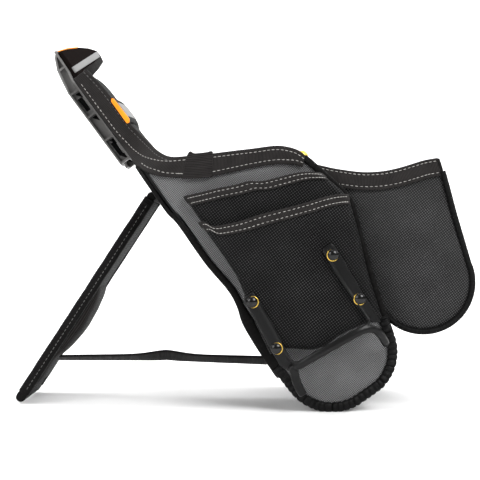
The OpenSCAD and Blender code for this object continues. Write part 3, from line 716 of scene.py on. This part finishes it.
def side_point(a, b, s):
    p = patch(a, b)
    crown = 5.2 * math.sin(math.pi * a) ** 0.8 * math.sin(math.pi * b ** 0.55) ** 0.8
    ripple = 0.5 * wander(p.x, p.y, 16)
    return Vector((p.x, s * (flank_y(p.y) - 1.4 + crown + ripple), p.y))


for label, s in SIDES:
    bm = panel(60, 80, lambda a, b, s=s: side_point(a, b, s))
    piece(f"side_cloth_{label}", bm, weave_grey, stands_for=[f"side_panel_{label}"],
          thick=1.8, facing=(0, s, 0))

# %% Front wall and floor
wall_line = inwards(evenly(U_EDGE + FRONT_EDGE[1:], 160), 1.6)


def wall_point(a, b):
    p = at(wall_line, a)
    y = (2 * b - 1) * 82.5
    belly = 1.0 * wander(y, 200 * a, 25)
    way = at(wall_line, a + 0.01) - at(wall_line, a - 0.01)
    out = Vector((way.y, -way.x)).normalized() * min(belly, 1.2)
    return Vector((p.x + out.x, y, p.y + out.y))


bm = panel(120, 30, wall_point, lambda a, b: (a * 330, b * 165))
piece("front_wall_cloth", bm, weave_black, stands_for=["front_wall"], thick=2.6,
      facing=(1, 0, -0.3))

# %% [markdown]
# ## Bindings round the compartment
# The tape round the lower curve is eased round a tight bend, so it gathers into small pleats. The ring that
# is swept along the edge swells and pinches, with uneven spacing, and pulls in sharply between pleats.

# %% Gathered binding
def pleat(run):
    """1 on the crown of a pleat and 0 in the fold between two."""
    phase = run / 4.7 + 0.35 * wander(run, 9, 11)
    return abs(math.sin(math.pi * phase)) ** 0.45


for label, s in SIDES:
    line = inwards([Vector((-8.4, 63.5))] + U_EDGE[2:] + FRONT_EDGE[1:9], 3.4)
    run_length = length(line)
    path = [Vector((p.x, s * 86.6, p.y)) for p in evenly(line, 300)]

    def ring(t, s=s):
        fold = pleat(t * run_length)
        slack = 1 + 0.10 * wander(t * run_length, 2, 9)
        grow = (0.5 + 0.5 * fold) * slack
        reach = 0.8 + 0.2 * fold
        return [(a * grow, b * reach) for a, b in ellipse(3.5, 4.3, 14, 2.8)]
    piece(f"gathered_edge_{label}", sweep(path, ring, lambda t, s=s: (0, s, 0)), gather_cloth,
          stands_for=[f"gathered_binding_{label}"])

# %% Front edge binding
for label, s in SIDES:
    path = [Vector((p.x, s * (83.6 + 0.4 * wander(p.y, 1, 12)), p.y)) for p in inwards(FRONT_EDGE, 1.8)]
    ring = lambda t: [(a, b * (1 + 0.1 * wander(t * 150, 8, 7))) for a, b in ellipse(2.4, 2.9, 12, 3)]
    piece(f"front_edge_binding_{label}", sweep(path, ring, lambda t, s=s: (0, s, 0)), tape_cloth)

# %% [markdown]
# ## Mouth tape
# One wide tape folds over the tongue's flank and the mouth's edge. Its section starts inside, goes over the
# rounded edge and comes down outside. One light row of stitching climbs the tongue, a second starts at the
# back edge, and a dark row runs up the tongue's front.

# %% Mouth tape
def tape_section(t):
    top, low = at(TAPE_TOP, t), at(TAPE_LOW, t)
    down = low - top
    return top, down, down.length


def tape_point(a, v, s):
    """v: 0 inside, 0.3 at the fold, 1 at the outer lower edge."""
    top, down, width = tape_section(a)
    d = down / width
    mouth = ease((262 - top.y) / 22)
    if v < 0.3:
        k = 1 - v / 0.3
        p = top + d * (0.3 + (1 + 8 * mouth) * k)
        y = flank_y(p.y) - 1.4 - (8.5 * (1 - mouth) + 1.6 * mouth) * k
        return Vector((p.x, s * y, p.y))
    k = (v - 0.3) / 0.7
    w = 0.2 + (width - 0.2) * k
    p = top + d * w
    tail = 0.5 * ease((w - width + 1.6) / 1.6)
    puff = 2.05 * round_over(w, 1.6) - tail + 0.35 * wander(a * 300, w, 13)
    return Vector((p.x, s * (flank_y(p.y) + puff), p.y))


tape_run = length(TAPE_TOP)
for label, s in SIDES:
    bm = panel(150, 26, lambda a, b, s=s: tape_point(a, b, s), lambda a, b: (a * tape_run, b * 27))
    piece(f"mouth_binding_{label}", bm, tape_cloth, stands_for=[f"mouth_tape_{label}"],
          thick=1.1, facing=(0, s, 0))


# %% Mouth stitching
KEEPER_AT = min(range(151), key=lambda i: abs(TAPE_TOP[i].x - 39.5)) / 150
KEEPER_END = KEEPER_AT + 0.1
TOP_ROW, LOW_ROW = 4, 3.8
CLIMB = smooth([(3.6, 345), (3.6, 310), (3.9, 294), (5, 285.6), (6.2, 276.4), (8.6, 267.5), (12.4, 260.4),
                (18.5, 252.9), (24.8, 247.4), (31, 243.4)], 120)
RISE = smooth([(5.2, 261), (7.4, 254.9), (11.2, 249.1), (16.6, 241.9), (27, 233.2)], 40)


def on_tape(spot, s):
    """The tape's outer face at an (x, z) point."""
    def section(i):
        top, down, width = tape_section(i / 300)
        w = (spot - top).dot(down) / width
        return (spot - top - down * (w / width)).length, i, w
    _, i, w = min(section(i) for i in range(301))
    return Vector((spot.x, s * (flank_y(spot.y) + 2.15 + 0.35 * wander(i, w, 13)), spot.y))


def tape_row(inset, s, from_low, start, end):
    """Points a fixed distance from the tape's upper or lower edge."""
    row = []
    for i in range(121):
        t = start + (end - start) * i / 120
        top, down, width = tape_section(t)
        w = width - inset if from_low else inset
        p = top + down / width * w
        row.append(Vector((p.x, s * (flank_y(p.y) + 2.15 + 0.35 * wander(t * 300, w, 13)), p.y)))
    return row


join = min(i for i in range(151) if TAPE_TOP[i].x > 36) / 150
for label, s in SIDES:
    bm = bmesh.new()
    for row in ([on_tape(p, s) for p in CLIMB] + tape_row(TOP_ROW, s, False, join, KEEPER_AT),
                [on_tape(p, s) for p in RISE] + tape_row(LOW_ROW, s, True, KEEPER_AT - 0.02, KEEPER_AT),
                tape_row(TOP_ROW, s, False, KEEPER_END, 1), tape_row(LOW_ROW, s, True, KEEPER_END, 1)):
        stitches(evenly(row, 200), lambda p, s=s: (0, s, 0), bm=bm)
    piece(f"mouth_stitching_{label}", bm, thread, round_off=0)
    bm = stitches(evenly(tape_row(TOP_ROW, s, False, 0, join - 0.06), 200), lambda p, s=s: (0, s, 0))
    piece(f"tongue_stitching_{label}", bm, dark_thread, round_off=0)

# %% Front edge of the mouth
def front_tape_point(a, b):
    y = (2 * a - 1) * 82
    run = b * 18
    top = Vector((115.4, 187.6))
    down = (Vector((121, 158)) - top).normalized()
    p = top + down * run
    return Vector((p.x + 0.8 - 0.4 * math.exp(-((run - 4) / 1.2) ** 2), y, p.y))


bm = panel(60, 12, front_tape_point, lambda a, b: (a * 164, b * 18))
piece("mouth_binding_front", bm, tape_cloth, stands_for=["mouth_tape_front"], thick=1.8,
      facing=(1, 0, 0))

# %% [markdown]
# ## Keeper loops and corner rivets
# A short length of heavy webbing is folded over the mouth tape. Its ribs run along the tape, and its sewn
# ends stand up a little above the edge. A brass rivet closes each front corner.

# %% Keeper loops
def keeper_point(a, b, s):
    """a along the tape, b from just inside the mouth, over its edge and down the outside."""
    t = KEEPER_AT + (KEEPER_END - KEEPER_AT) * a
    top, down, width = tape_section(t)
    d = down / width
    bump = 2.2 * math.exp(-((a - 0.08) / 0.12) ** 2) + 0.6 * math.exp(-((a - 0.9) / 0.06) ** 2)
    if b < 0.2:
        k = 1 - b / 0.2
        p = top + d * (6 * k) - d * (1.0 + bump) * (1 - k)
        return Vector((p.x, s * (flank_y(p.y) - 3.2 + 1.6 * (1 - k)), p.y))
    k = (b - 0.2) / 0.8
    w = -1.0 - bump * (1 - k) ** 4 + (width + 1.5) * k
    p = top + d * w
    rib = 0.45 * abs(math.sin(math.pi * (k * 5.5 + 0.1)))
    lift = 3.6 * round_over(k + 0.02, 0.12)
    ends = 0.7 * (math.exp(-((a - 0.04) / 0.06) ** 2) + math.exp(-((a - 0.96) / 0.06) ** 2))
    return Vector((p.x, s * (flank_y(p.y) - 0.6 + lift + rib - ends), p.y))


for label, s in SIDES:
    bm = panel(28, 60, lambda a, b, s=s: keeper_point(a, b, s), lambda a, b: (b * 27, a * 23))
    piece(f"keeper_webbing_{label}", bm, webbing, stands_for=[f"keeper_loop_{label}"],
          thick=1.3, facing=(0, s, 0))

# %% Corner rivets
bm = bmesh.new()
for s in (-1, 1):
    spun([(0.001, 2.6), (1.8, 2.4), (3.2, 1.7), (4.0, 0.6), (4.2, 0), (4.2, -1.6), (0.001, -1.6)],
         (114.5, s * 81, 188.2), (0.94, s * 0.1, 0.3), 20, bm)
piece("corner_brass_rivets", bm, brass, stands_for=["corner_rivets"], round_off=0)

# %% [markdown]
# ## Side sleeves
# Two open sleeves are sewn over each side panel, the front one over the rear one. Each is a shell: it
# stands off the cloth behind it, turns in along its sides and foot, and stays open at its taped top.

# %% Sleeve shells
def sleeve_patch(left, foot, right, top):
    return coons(smooth(foot, 60), smooth(top, 60), smooth(left, 60), smooth(right, 60))


REAR_TOP = [(16.8, 218), (29, 212.5), (42, 207), (56, 200.5), (66, 196.5), (74, 190.5), (88, 184.5),
            (101, 179), (110, 173), (116.4, 167.5)]
FRONT_TOP = [(14.2, 194), (18.4, 191.6), (21.5, 185), (29, 180.5), (42, 174.8), (55, 170.6), (68, 165.4),
             (80, 160.4), (94, 155), (107, 150.4), (116, 146), (122.6, 141.6)]
FOOT = [(-2.6, 76), (3, 74.5), (11, 72), (31, 57), (57, 54.5), (86.4, 46.5)]
rear_patch = sleeve_patch([(-2.6, 76), (4.5, 112), (13, 140), (15.6, 180), (16.8, 218)], FOOT,
                          [(86.4, 46.5), (99.6, 82), (113.5, 116), (121.8, 140), (116.4, 167.5)], REAR_TOP)
front_patch = sleeve_patch([(-2.6, 76), (4.5, 112), (12.6, 140), (14.2, 170), (14.2, 194)], FOOT,
                           [(86.4, 46.5), (98.6, 82), (111.5, 112), (122.6, 141.6)], FRONT_TOP)


def spread(t):
    """Closer grid lines near both ends, where the cloth turns in."""
    return 0.5 * t + 0.5 * (0.5 - 0.5 * math.cos(math.pi * t))


def turned_in(a, b, width, height, radius):
    """0 at the sewn sides and foot, 1 on the face, along a rounded turn."""
    return round_over(min(a * width, (1 - a) * width, b * height), radius)


def rear_point(a, b, s):
    a = spread(a)
    p = rear_patch(a, b)
    stand = turned_in(a, b, 95, 130, 6)
    belly = 1.2 * math.sin(math.pi * a) + 0.7 * wander(p.x, p.y, 22)
    return Vector((p.x, s * (86 + 8.2 * stand + belly * stand), p.y))


def front_point(a, b, s):
    a = spread(a)
    p = front_patch(a, b)
    stand = turned_in(a, b, 95, 105, 6)
    seam_x = 43 + 0.08 * (p.y - 120)
    seam = 1.3 * math.exp(-((p.x - seam_x) / 2.0) ** 2) * ease((p.y - 96) / 24)
    belly = 0.9 * math.sin(math.pi * a) + 0.7 * wander(p.x + 40, p.y, 24)
    lap = 1.5 * math.exp(-((p.x - 20) / 3.0) ** 2) * ease((p.y - 160) / 25)
    return Vector((p.x, s * (95.6 + 9.2 * stand + (belly - seam + lap) * stand), p.y))


for label, s in SIDES:
    bm = panel(64, 64, lambda a, b, s=s: rear_point(a, b, s))
    piece(f"rear_sleeve_cloth_{label}", bm, weave_black, stands_for=[f"rear_sleeve_{label}"],
          thick=1.2, facing=(0, s, 0))
    bm = panel(64, 64, lambda a, b, s=s: front_point(a, b, s))
    piece(f"front_sleeve_cloth_{label}", bm, weave_black, stands_for=[f"front_sleeve_{label}"],
          thick=1.2, facing=(0, s, 0))


# %% Sleeve tapes and their stitching
SLEEVE_TAPE_W = 8.8
SLEEVE_ROWS = (2.3, 6.7)


def sleeve_tape(surface, run, drop, s, name, node):
    """A folded tape over the sleeve's top edge: v from inside, over the edge, down the outside."""
    def point(a, v):
        if v < 0.25:
            k = 1 - v / 0.25
            q = surface(a, 1 - 0.045 * k, s)
            return q + Vector((0, -s * (1.5 + 0.6 * k), 0))
        k = (v - 0.25) / 0.75
        q = surface(a, 1 - k * drop, s)
        w = k * SLEEVE_TAPE_W
        lift = 1.3 * round_over(w, 1.2) + 0.25 - 0.4 * grooves(w, SLEEVE_ROWS, 0.7)
        over = 0.6 * (1 - min(w / 1.2, 1))
        return q + Vector((0, s * lift, over))
    bm = panel(80, 20, point, lambda a, b: (a * run, b * 12))
    piece(name, bm, tape_cloth, stands_for=[node], thick=1.0, facing=(0, s, 0))
    bm = bmesh.new()
    for w in SLEEVE_ROWS:
        row = [surface(0.03 + 0.94 * i / 120, 1 - w / SLEEVE_TAPE_W * drop, s) + Vector((0, s * 1.8, 0))
               for i in range(121)]
        stitches(row, lambda p: (0, s, 0), pitch=3.2, long=2.4, thick=0.55, bm=bm)
    piece(name + "_stitching", bm, thread, round_off=0)


for label, s in SIDES:
    sleeve_tape(rear_point, 115, 0.066, s, f"rear_sleeve_binding_{label}", f"rear_sleeve_tape_{label}")
    sleeve_tape(front_point, 125, 0.082, s, f"front_sleeve_binding_{label}", f"front_sleeve_tape_{label}")

# %% [markdown]
# ## Guard and its rivets
# The guard is one moulding on each side: two riveted strips, a bowed crossbar that turns down into the front
# toe, a rear toe, and a raised lip along the inner edges. The parts are blocks and swept rings that overlap,
# and a voxel Remesh joins them into one skin with soft fillets, as a mould would. Each rivet is a black
# domed cap on a brass cup.

# %% Guard
GUARD_Y = 106
REAR_RIVETS = [(11.6, 118.4), (5.2, 78)]
FRONT_RIVETS = [(83.4, 110.6), (79.9, 70.6)]
REAR_STRIP = [(3.4, 54), (7.6, 54), (12.6, 92), (15.4, 112), (16.4, 123.8), (15.0, 125.2), (7.8, 125.0),
              (6.4, 123), (3.4, 98), (-1.0, 66)]
FRONT_STRIP = [(76.4, 50), (83, 46), (85.2, 76), (88.8, 108), (89.2, 117.4), (87.8, 119), (80.4, 119.4),
               (78.9, 117.5), (76.6, 84)]
BAR = [(6.8, 60.5, 1.2), (11, 57.6, 5), (22, 56.4, 8), (40.6, 54.3, 9.6), (61, 51.6, 8.6), (69.6, 49.3, 6.8),
       (74.6, 45.6, 4.2), (76.8, 39.5, 0.8), (76.6, 32.5, -5.5), (75.8, 26.2, -12)]
REAR_TOE = [(7.2, 61, 1.0), (5.6, 56.4, 1.6), (2.8, 50, -0.5), (0.8, 42.6, -5.5), (-0.3, 34.4, -12)]
LIP = [(15.4, 121, 0), (12.6, 95, 0), (9.6, 74, 0.4), (8.4, 64.6, 2.0), (12.4, 59.9, 5.4), (22, 58.9, 8.4),
       (40.6, 56.8, 10), (61, 54.1, 9.0), (70.4, 52, 7.2), (75.4, 52.4, 4), (76.6, 60, 1.0), (77.2, 88, 0),
       (79.8, 117, 0)]


def guard_run(points, s, out, side, bm, count=110):
    """A rail of the guard, swept along (x, z, outwards) points and rounded at both ends."""
    path = [Vector((p.x, s * (GUARD_Y + 1.6 + p.z), p.y)) for p in smooth(points, count)]

    def ring(t):
        end = math.sqrt(max(0.03, 1 - max(0, 1 - min(t, 1 - t) / 0.05) ** 2))
        return ellipse(out * end, side * end, 14, 2.4)
    sweep(path, ring, lambda t: (0, s, 0), bm)


for label, s in SIDES:
    bm = bmesh.new()
    for strip in (REAR_STRIP, FRONT_STRIP):
        block(strip, s * (GUARD_Y - 0.4), s * (GUARD_Y + 2.4), 0.7, 2, bm)
    guard_run(BAR, s, 2.5, 3.2, bm)
    guard_run(REAR_TOE, s, 2.4, 3.6, bm)
    guard_run(LIP, s, 1.5, 1.1, bm, 200)
    moulding = piece(f"guard_moulding_{label}", bm, guard_black, stands_for=[f"guard_{label}"],
                     round_off=0)
    skin = moulding.modifiers.new("one_skin", "REMESH")
    skin.mode = "VOXEL"
    skin.voxel_size = 0.0006
    skin.use_smooth_shade = True
    fillets = moulding.modifiers.new("soft_fillets", "SMOOTH")
    fillets.factor = 0.5
    fillets.iterations = 5

# %% Guard rivets
caps, rings = bmesh.new(), bmesh.new()
for s in (-1, 1):
    # Each cap sits off-centre on its brass cup, so brass shows on one side only: a painted reflection
    # crescent, on the side where the light glints for each group.
    for group, glint_offset in ((REAR_RIVETS, (-0.45, 0.3)), (FRONT_RIVETS, (0.55, 0.05))):
        for x, z in group:
            y = s * (GUARD_Y + 2.3)
            spun([(4.3, 1.0), (4.6, 0.9), (4.8, 0.4), (4.8, -0.4), (3.0, -0.4), (3.0, 0.9), (4.3, 1.0)],
                 (x, y, z), (0, s, 0), 28, rings)
            spun([(0.001, 3.0), (1.8, 2.8), (3.3, 2.2), (4.2, 1.4), (4.5, 0.9), (4.5, 0.2), (0.001, 0.2)],
                 (x + glint_offset[0], y, z + glint_offset[1]), (0, s, 0), 28, caps)
piece("guard_rivet_domes", caps, cap_black, stands_for=["guard_rivet_caps"], round_off=0)
piece("guard_rivet_cups", rings, brass, stands_for=["guard_rivet_rings"], round_off=0)

# %% [markdown]
# ## Front pocket
# The front pocket is a round-bottomed bag sewn to the compartment's front wall: two crowned sides, one wall
# that wraps round under it, a piped seam, and a concave taped mouth.

# %% Pocket outline
P_ARC = arc(131, 48, 40, 180, 348, 22)
NOSE_LOW, NOSE_TOP = (193, 100), (201, 121.5)
P_LINE = smooth(P_ARC + [(176.5, 57), (184, 77.5), NOSE_LOW, NOSE_TOP], 200)
split = min(range(len(P_LINE)), key=lambda i: (P_LINE[i] - Vector(P_ARC[-1])).length)
P_TOP = [(115.4, 179.5), (122, 172), (129.5, 163.5), (144, 149.5), (157, 140.5), (169, 134.6), (181, 130.2),
         (191, 126.6), NOSE_TOP]
p_top = smooth(P_TOP, 60)
p_bottom = evenly(inwards(P_LINE, 1.0)[:split + 1], 60)
p_right = evenly([p_bottom[-1]] + inwards(P_LINE, 1.0)[split + 1:] + [p_top[-1]], 60)
p_seam = [Vector(q) for q in ((93, 56), (108, 94), (122, 134), (119, 160))]
p_left = evenly([p_bottom[0]] + p_seam + [p_top[0]], 60)
p_patch = coons(p_bottom, p_top, p_left, p_right)


def pocket_side_point(a, b, s):
    p = p_patch(a, b)
    crown = 5.6 * math.sin(math.pi * a) ** 0.75 * math.sin(math.pi * min(b, 0.98) ** 0.72) ** 0.6
    return Vector((p.x, s * (73.6 + crown + 0.5 * wander(p.x, p.y, 20)), p.y))


for label, s in SIDES:
    bm = panel(56, 60, lambda a, b, s=s: pocket_side_point(a, b, s))
    piece(f"pocket_cloth_{label}", bm, weave_pocket_lit, stands_for=[f"pocket_side_{label}"],
          thick=1.8, facing=(0, s, 0))


# %% Pocket wall
def pocket_wall_point(a, b):
    p = at(P_LINE, a)
    y = (2 * b - 1) * 74
    way = at(P_LINE, a + 0.01) - at(P_LINE, a - 0.01)
    swell = 1.4 * math.cos(math.pi * (b - 0.5)) + 0.8 * wander(y, 260 * a, 24)
    out = Vector((way.y, -way.x)).normalized() * (swell - 0.8)
    return Vector((p.x + out.x, y, p.y + out.y))


bm = panel(120, 34, pocket_wall_point, lambda a, b: (a * 215, b * 148))
piece("pocket_wall_cloth", bm, weave_pocket_lit, stands_for=["pocket_wall"], thick=2.2,
      facing=(1, 0, -0.3))

# %% Pocket piping
pipe_line = [p for p in P_LINE if p.y < 111 or p.x < 150]
for label, s in SIDES:
    path = [Vector((p.x, s * 75.4, p.y)) for p in evenly(pipe_line, 170)]
    ring = lambda t: ellipse(2.5, 2.5 * (1 + 0.03 * wander(t * 200, 3, 5)), 12, 2.0)
    piece(f"pocket_piping_cord_{label}", sweep(path, ring, lambda t, s=s: (0, s, 0)), cord_cloth,
          stands_for=[f"pocket_piping_{label}"])


# %% Pocket tape
POCKET_TAPE_W = 15
POCKET_ROWS = (2.6, 12.2)


def pocket_tape_point(a, v, s):
    """v: 0 inside, 0.25 on the fold, 1 at the lower edge outside."""
    top = at(p_top, a)
    way = at(p_top, a + 0.01) - at(p_top, a - 0.01)
    d = Vector((way.y, -way.x)).normalized()
    if a > 0.9:
        nose = (Vector(NOSE_LOW) - Vector(NOSE_TOP)).normalized()
        d = d.lerp(nose, ease((a - 0.9) / 0.1)).normalized()
    base = pocket_side_point(a, 0.995, 1).y
    if v < 0.25:
        k = 1 - v / 0.25
        return Vector((*(top + d * (8 * k)).to_tuple(), 0)).xzy + Vector((0, s * (base - 2.2 - 0.5 * k), 0))
    w = (v - 0.25) / 0.75 * POCKET_TAPE_W
    lift = 1.5 * round_over(w, 1.4) + 0.4 - 0.5 * grooves(w, POCKET_ROWS, 0.8)
    p = top + d * w - d * 0.6 * (1 - min(w / 1.4, 1))
    crown = 2.9 * math.sin(math.pi * a) ** 0.75 * min(w / POCKET_TAPE_W, 1) ** 0.7
    return Vector((p.x, s * (base + lift + crown), p.y))


for label, s in SIDES:
    bm = panel(80, 22, lambda a, b, s=s: pocket_tape_point(a, b, s), lambda a, b: (a * 105, b * 20))
    stands = ["pocket_tape"] if s < 0 else []
    piece(f"pocket_binding_{label}", bm, tape_cloth, stands_for=stands, thick=1.1,
          facing=(0, s, 0))
    bm = bmesh.new()
    for w in POCKET_ROWS:
        v = 0.25 + 0.75 * w / POCKET_TAPE_W
        row = [pocket_tape_point(0.05 + 0.93 * i / 120, v, s) + Vector((0, s * 0.75, 0)) for i in range(121)]
        stitches(row, lambda p, s=s: (0, s, 0), bm=bm)
    piece(f"pocket_stitching_{label}", bm, thread, round_off=0)


def nose_point(a, v):
    top, low = Vector(NOSE_TOP), Vector(NOSE_LOW)
    d = (low - top).normalized()
    out = Vector((-d.y, d.x))
    y = (2 * a - 1) * 77.2
    corner = 1.6 * (abs(2 * a - 1)) ** 24
    if v < 0.25:
        p = top + d * (8 * (1 - v / 0.25)) - out * 1.6
    else:
        w = (v - 0.25) / 0.75 * POCKET_TAPE_W
        lift = 1.3 * round_over(w, 1.4) + 0.3 - 0.5 * grooves(w, POCKET_ROWS, 0.8)
        p = top + d * w + out * (lift + 1.0 * math.cos(math.pi * (a - 0.5)) - corner)
    return Vector((p.x, y, p.y))


bm = panel(60, 22, nose_point, lambda a, b: (a * 150, b * 20))
piece("pocket_binding_front", bm, tape_cloth, thick=1.1, facing=(1, 0, 0))
bm = bmesh.new()
for w in POCKET_ROWS:
    v = 0.25 + 0.75 * w / POCKET_TAPE_W
    row = [nose_point(0.03 + 0.94 * i / 120, v) + Vector((0.6, 0, 0)) for i in range(121)]
    stitches(row, lambda p: (0.93, 0, -0.36), bm=bm)
piece("pocket_stitching_front", bm, thread, round_off=0)

# %% [markdown]
# ## Kickstand
# The kickstand is a board covered in cloth, bound down both long edges with ribbed tape, with a rolled foot.
# It hangs from its hinge line by a web. A padded patch on its inner face holds the strap.

# %% Kickstand panel
STAND_CLOTH = 196


def stand_face(x, facing):
    def place(a, b):
        z = -2 - STAND_CLOTH * b
        y = (2 * a - 1) * 39
        puff = 0.5 * math.cos(math.pi * (a - 0.5)) + 0.35 * wander(y, z, 26)
        return Vector((x + facing * (puff - 0.4), y, z))
    return panel(30, 60, place, lambda a, b: (a * 78, b * STAND_CLOTH))


piece("kickstand_outer_cloth", stand_face(-4, -1), weave_black, STAND, "kickstand", ["stand_skin_outer"],
      2.2, (-1, 0, 0))
piece("kickstand_inner_cloth", stand_face(4, 1), weave_black, STAND, "kickstand", ["stand_skin_inner"],
      2.2, (1, 0, 0))

# %% Kickstand binding, foot and roll
bm = bmesh.new()
for s in (-1, 1):
    path = [Vector((0.25 * wander(i, s, 9), s * (37.6 + 0.25 * wander(i, 4, 7)), -1.5 - 195 * i / 120))
            for i in range(121)]
    ring = lambda t: ellipse(4.6, 4.8 + 0.12 * wander(t * 200, 1, 5), 14, 3.6)
    sweep(path, ring, lambda t, s=s: (0, s, 0), bm)
piece("kickstand_binding", bm, tape_cloth, STAND, "kickstand", ["stand_binding"])

path = [Vector((0, -41.6 + 83.2 * i / 60, -198.2 + 0.3 * wander(i, 7, 6))) for i in range(61)]
ring = lambda t: [(a * (1 + 0.04 * wander(t * 90, 2, 6)), b) for a, b in ellipse(4.1, 5.9, 16, 2.6)]
piece("kickstand_foot", sweep(path, ring, lambda t: (1, 0, 0)), tape_cloth, STAND, "kickstand",
      ["stand_foot"])
path = [Vector((0, -40 + 80 * i / 50, 0)) for i in range(51)]
ring = lambda t: ellipse(4.0, 4.1 * (1 + 0.03 * wander(t * 80, 6, 8)), 16, 2.1)
piece("kickstand_roll", sweep(path, ring, lambda t: (1, 0, 0)), tape_cloth, STAND, "kickstand",
      ["stand_knuckle"])

# %% Kickstand stitching
bm = bmesh.new()
for s in (-1, 1):
    row = [Vector((0.9, s * 42.5, -8 - 184 * i / 80)) for i in range(81)]
    stitches(row, lambda p, s=s: (0, s, 0), bm=bm, thick=0.7)
piece("kickstand_stitching", bm, dark_thread, STAND, "kickstand", round_off=0)


# %% Strap patch
PATCH_TOP, PATCH_RUN, BULGE_RUN = 87, 99, 72


def patch_point(a, b):
    s = PATCH_TOP + PATCH_RUN * b
    share = min((s - PATCH_TOP) / BULGE_RUN, 1)
    rise = 6.3 * math.sin(math.pi * share) ** 0.8 if share < 1 else 0
    rim = math.sqrt(max(0, 1 - abs(2 * a - 1) ** 6)) * math.sqrt(max(0, 1 - abs(2 * b - 1) ** 16))
    puff = 0.4 * wander(a * 60, s, 12)
    return Vector((3.9 + (1.9 + rise * (0.75 + 0.25 * math.cos(math.pi * (a - 0.5))) + puff) * rim,
                   (2 * a - 1) * 30, -s))


bm = panel(30, 50, patch_point, lambda a, b: (a * 60, b * PATCH_RUN))
piece("strap_patch", bm, webbing, STAND, "kickstand", ["stand_patch"], 1.2, (1, 0, 0))

# %% [markdown]
# ## Strap, its anchor and the hinge web
# The strap stops the kickstand when it is open, so it lies nearly straight, with a slight wave and a twist.
# It crosses the joint: one end is placed on the pouch and the other end on the kickstand.

# %% Strap
stand_end = STAND @ Vector((4.6, 0, -162))
pouch_end = POUCH @ Vector((-10.2, 0, 65))
print("strap span in mm:", round((pouch_end - stand_end).length * 1000))


def strap_path():
    points = []
    for i in range(121):
        t = i / 120
        p = (stand_end * 1000).lerp(pouch_end * 1000, t)
        p.z += 2.4 * math.exp(-(abs(t - 0.52) / 0.09) ** 1.4) + 1.2 * math.sin(math.pi * t)
        points.append(p)
    return points


def strap_out(t):
    turn = math.radians(13 + 8 * t + 7 * math.exp(-((t - 0.52) / 0.1) ** 2))
    return (0, math.sin(turn), math.cos(turn))


ring = lambda t: ellipse(1.15, 12.3, 20, 4.5)
strap = piece("strap_webbing", sweep(strap_path(), ring, strap_out), webbing, MM, None, ["strap"])
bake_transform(strap)


# %% Strap anchor
def anchor_point(a, b):
    z = 60 + 47 * b
    rim = math.sqrt(max(0, 1 - abs(2 * a - 1) ** 10)) * math.sqrt(max(0, 1 - abs(2 * b - 1) ** 12))
    puff = 0.4 * wander(a * 84, z, 14)
    return Vector((back_x(z) + 0.4 - (2.3 + puff) * rim, (2 * a - 1) * 42, z))


bm = panel(34, 24, anchor_point, lambda a, b: (b * 47, a * 84))
piece("strap_anchor_patch", bm, webbing, stands_for=["strap_anchor"], thick=1.0,
      facing=(-1, 0, 0))

# %% Hinge web
def web_point(a, b):
    z = 266 - 33 * b
    back = back_x(z) - 1.0 - 3.4 * ease((244 - z) / 9)
    return Vector((back - 0.2 * wander(a * 80, z, 12), (2 * a - 1) * 39.6, z))


bm = panel(30, 24, web_point, lambda a, b: (b * 33, a * 80))
web = piece("hinge_web_cloth", bm, tape_cloth, body=None, stands_for=["hinge_web"],
            thick=1.1, facing=(-1, 0, 0))
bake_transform(web)

# %% [markdown]
# ## Floor, light and camera
# A plain pale sweep curves up behind the pouch. Two large soft lamps stand in front, above left and right,
# one hangs overhead and two light the sweep. The camera looks straight across at the pouch's right side.

# %% Floor
bm = bmesh.new()
bmesh.ops.create_grid(bm, x_segments=4, y_segments=60, size=0.5)
for v in bm.verts:
    run = (v.co.y + 0.5) * 6.0
    flat, radius = 3.4, 0.8
    bend = min(max((run - flat) / radius, 0), math.pi / 2)
    rise = max(run - flat - radius * math.pi / 2, 0)
    v.co = Vector((v.co.x * 9, -2.2 + min(run, flat) + radius * math.sin(bend),
                   radius * (1 - math.cos(bend)) + rise))
n = Nodes("pale_floor")
n.shade(Base_Color=(0.86, 0.86, 0.86, 1), Roughness=0.9)
floor = piece("floor_sweep", bm, n.material, Matrix.Identity(4), None, round_off=0)

# %% Light
world = bpy.data.worlds.new("soft_studio")
bpy.context.scene.world = world
world.use_nodes = True
world.node_tree.nodes["Background"].inputs["Color"].default_value = (1, 1, 1, 1)
world.node_tree.nodes["Background"].inputs["Strength"].default_value = 0.2
bpy.context.scene.view_settings.view_transform = "Standard"


def softbox(name, where, aim, size, power):
    light = bpy.data.lights.new(name, "AREA")
    light.shape = "RECTANGLE"
    light.size, light.size_y = size
    light.energy = power
    lamp = bpy.data.objects.new(name, light)
    lamp.location = where
    lamp.rotation_euler = (Vector(aim) - Vector(where)).to_track_quat("-Z", "Y").to_euler()
    lamp.visible_camera = False
    bpy.context.scene.collection.objects.link(lamp)


softbox("key_lamp", (0.9, -1.3, 1.3), (0, 0, 0.1), (0.9, 0.9), 40)
softbox("fill_lamp", (-1.2, -1.1, 0.8), (0, 0, 0.12), (0.9, 0.9), 18)
softbox("top_lamp", (-0.1, 0.2, 1.7), (0, 0, 0), (1.8, 1.4), 20)
softbox("left_wall_lamp", (-1.8, 0.8, 1.6), (0, 2.2, 0.5), (1.4, 1.4), 60)
softbox("right_wall_lamp", (1.8, 0.8, 1.6), (0, 2.2, 0.5), (1.4, 1.4), 60)
print("lamps:", len(bpy.data.lights))

# %% Camera
camera = bpy.data.objects.new("camera", bpy.data.cameras.new("camera"))
camera.data.lens = 94.7
camera.data.sensor_width = 36
camera.location = (-0.001, -1.095, 0.137)
camera.rotation_euler = (math.radians(90), 0, 0)
bpy.context.scene.collection.objects.link(camera)
bpy.context.scene.camera = camera

# %% Final update of the scene
bpy.context.view_layer.update()
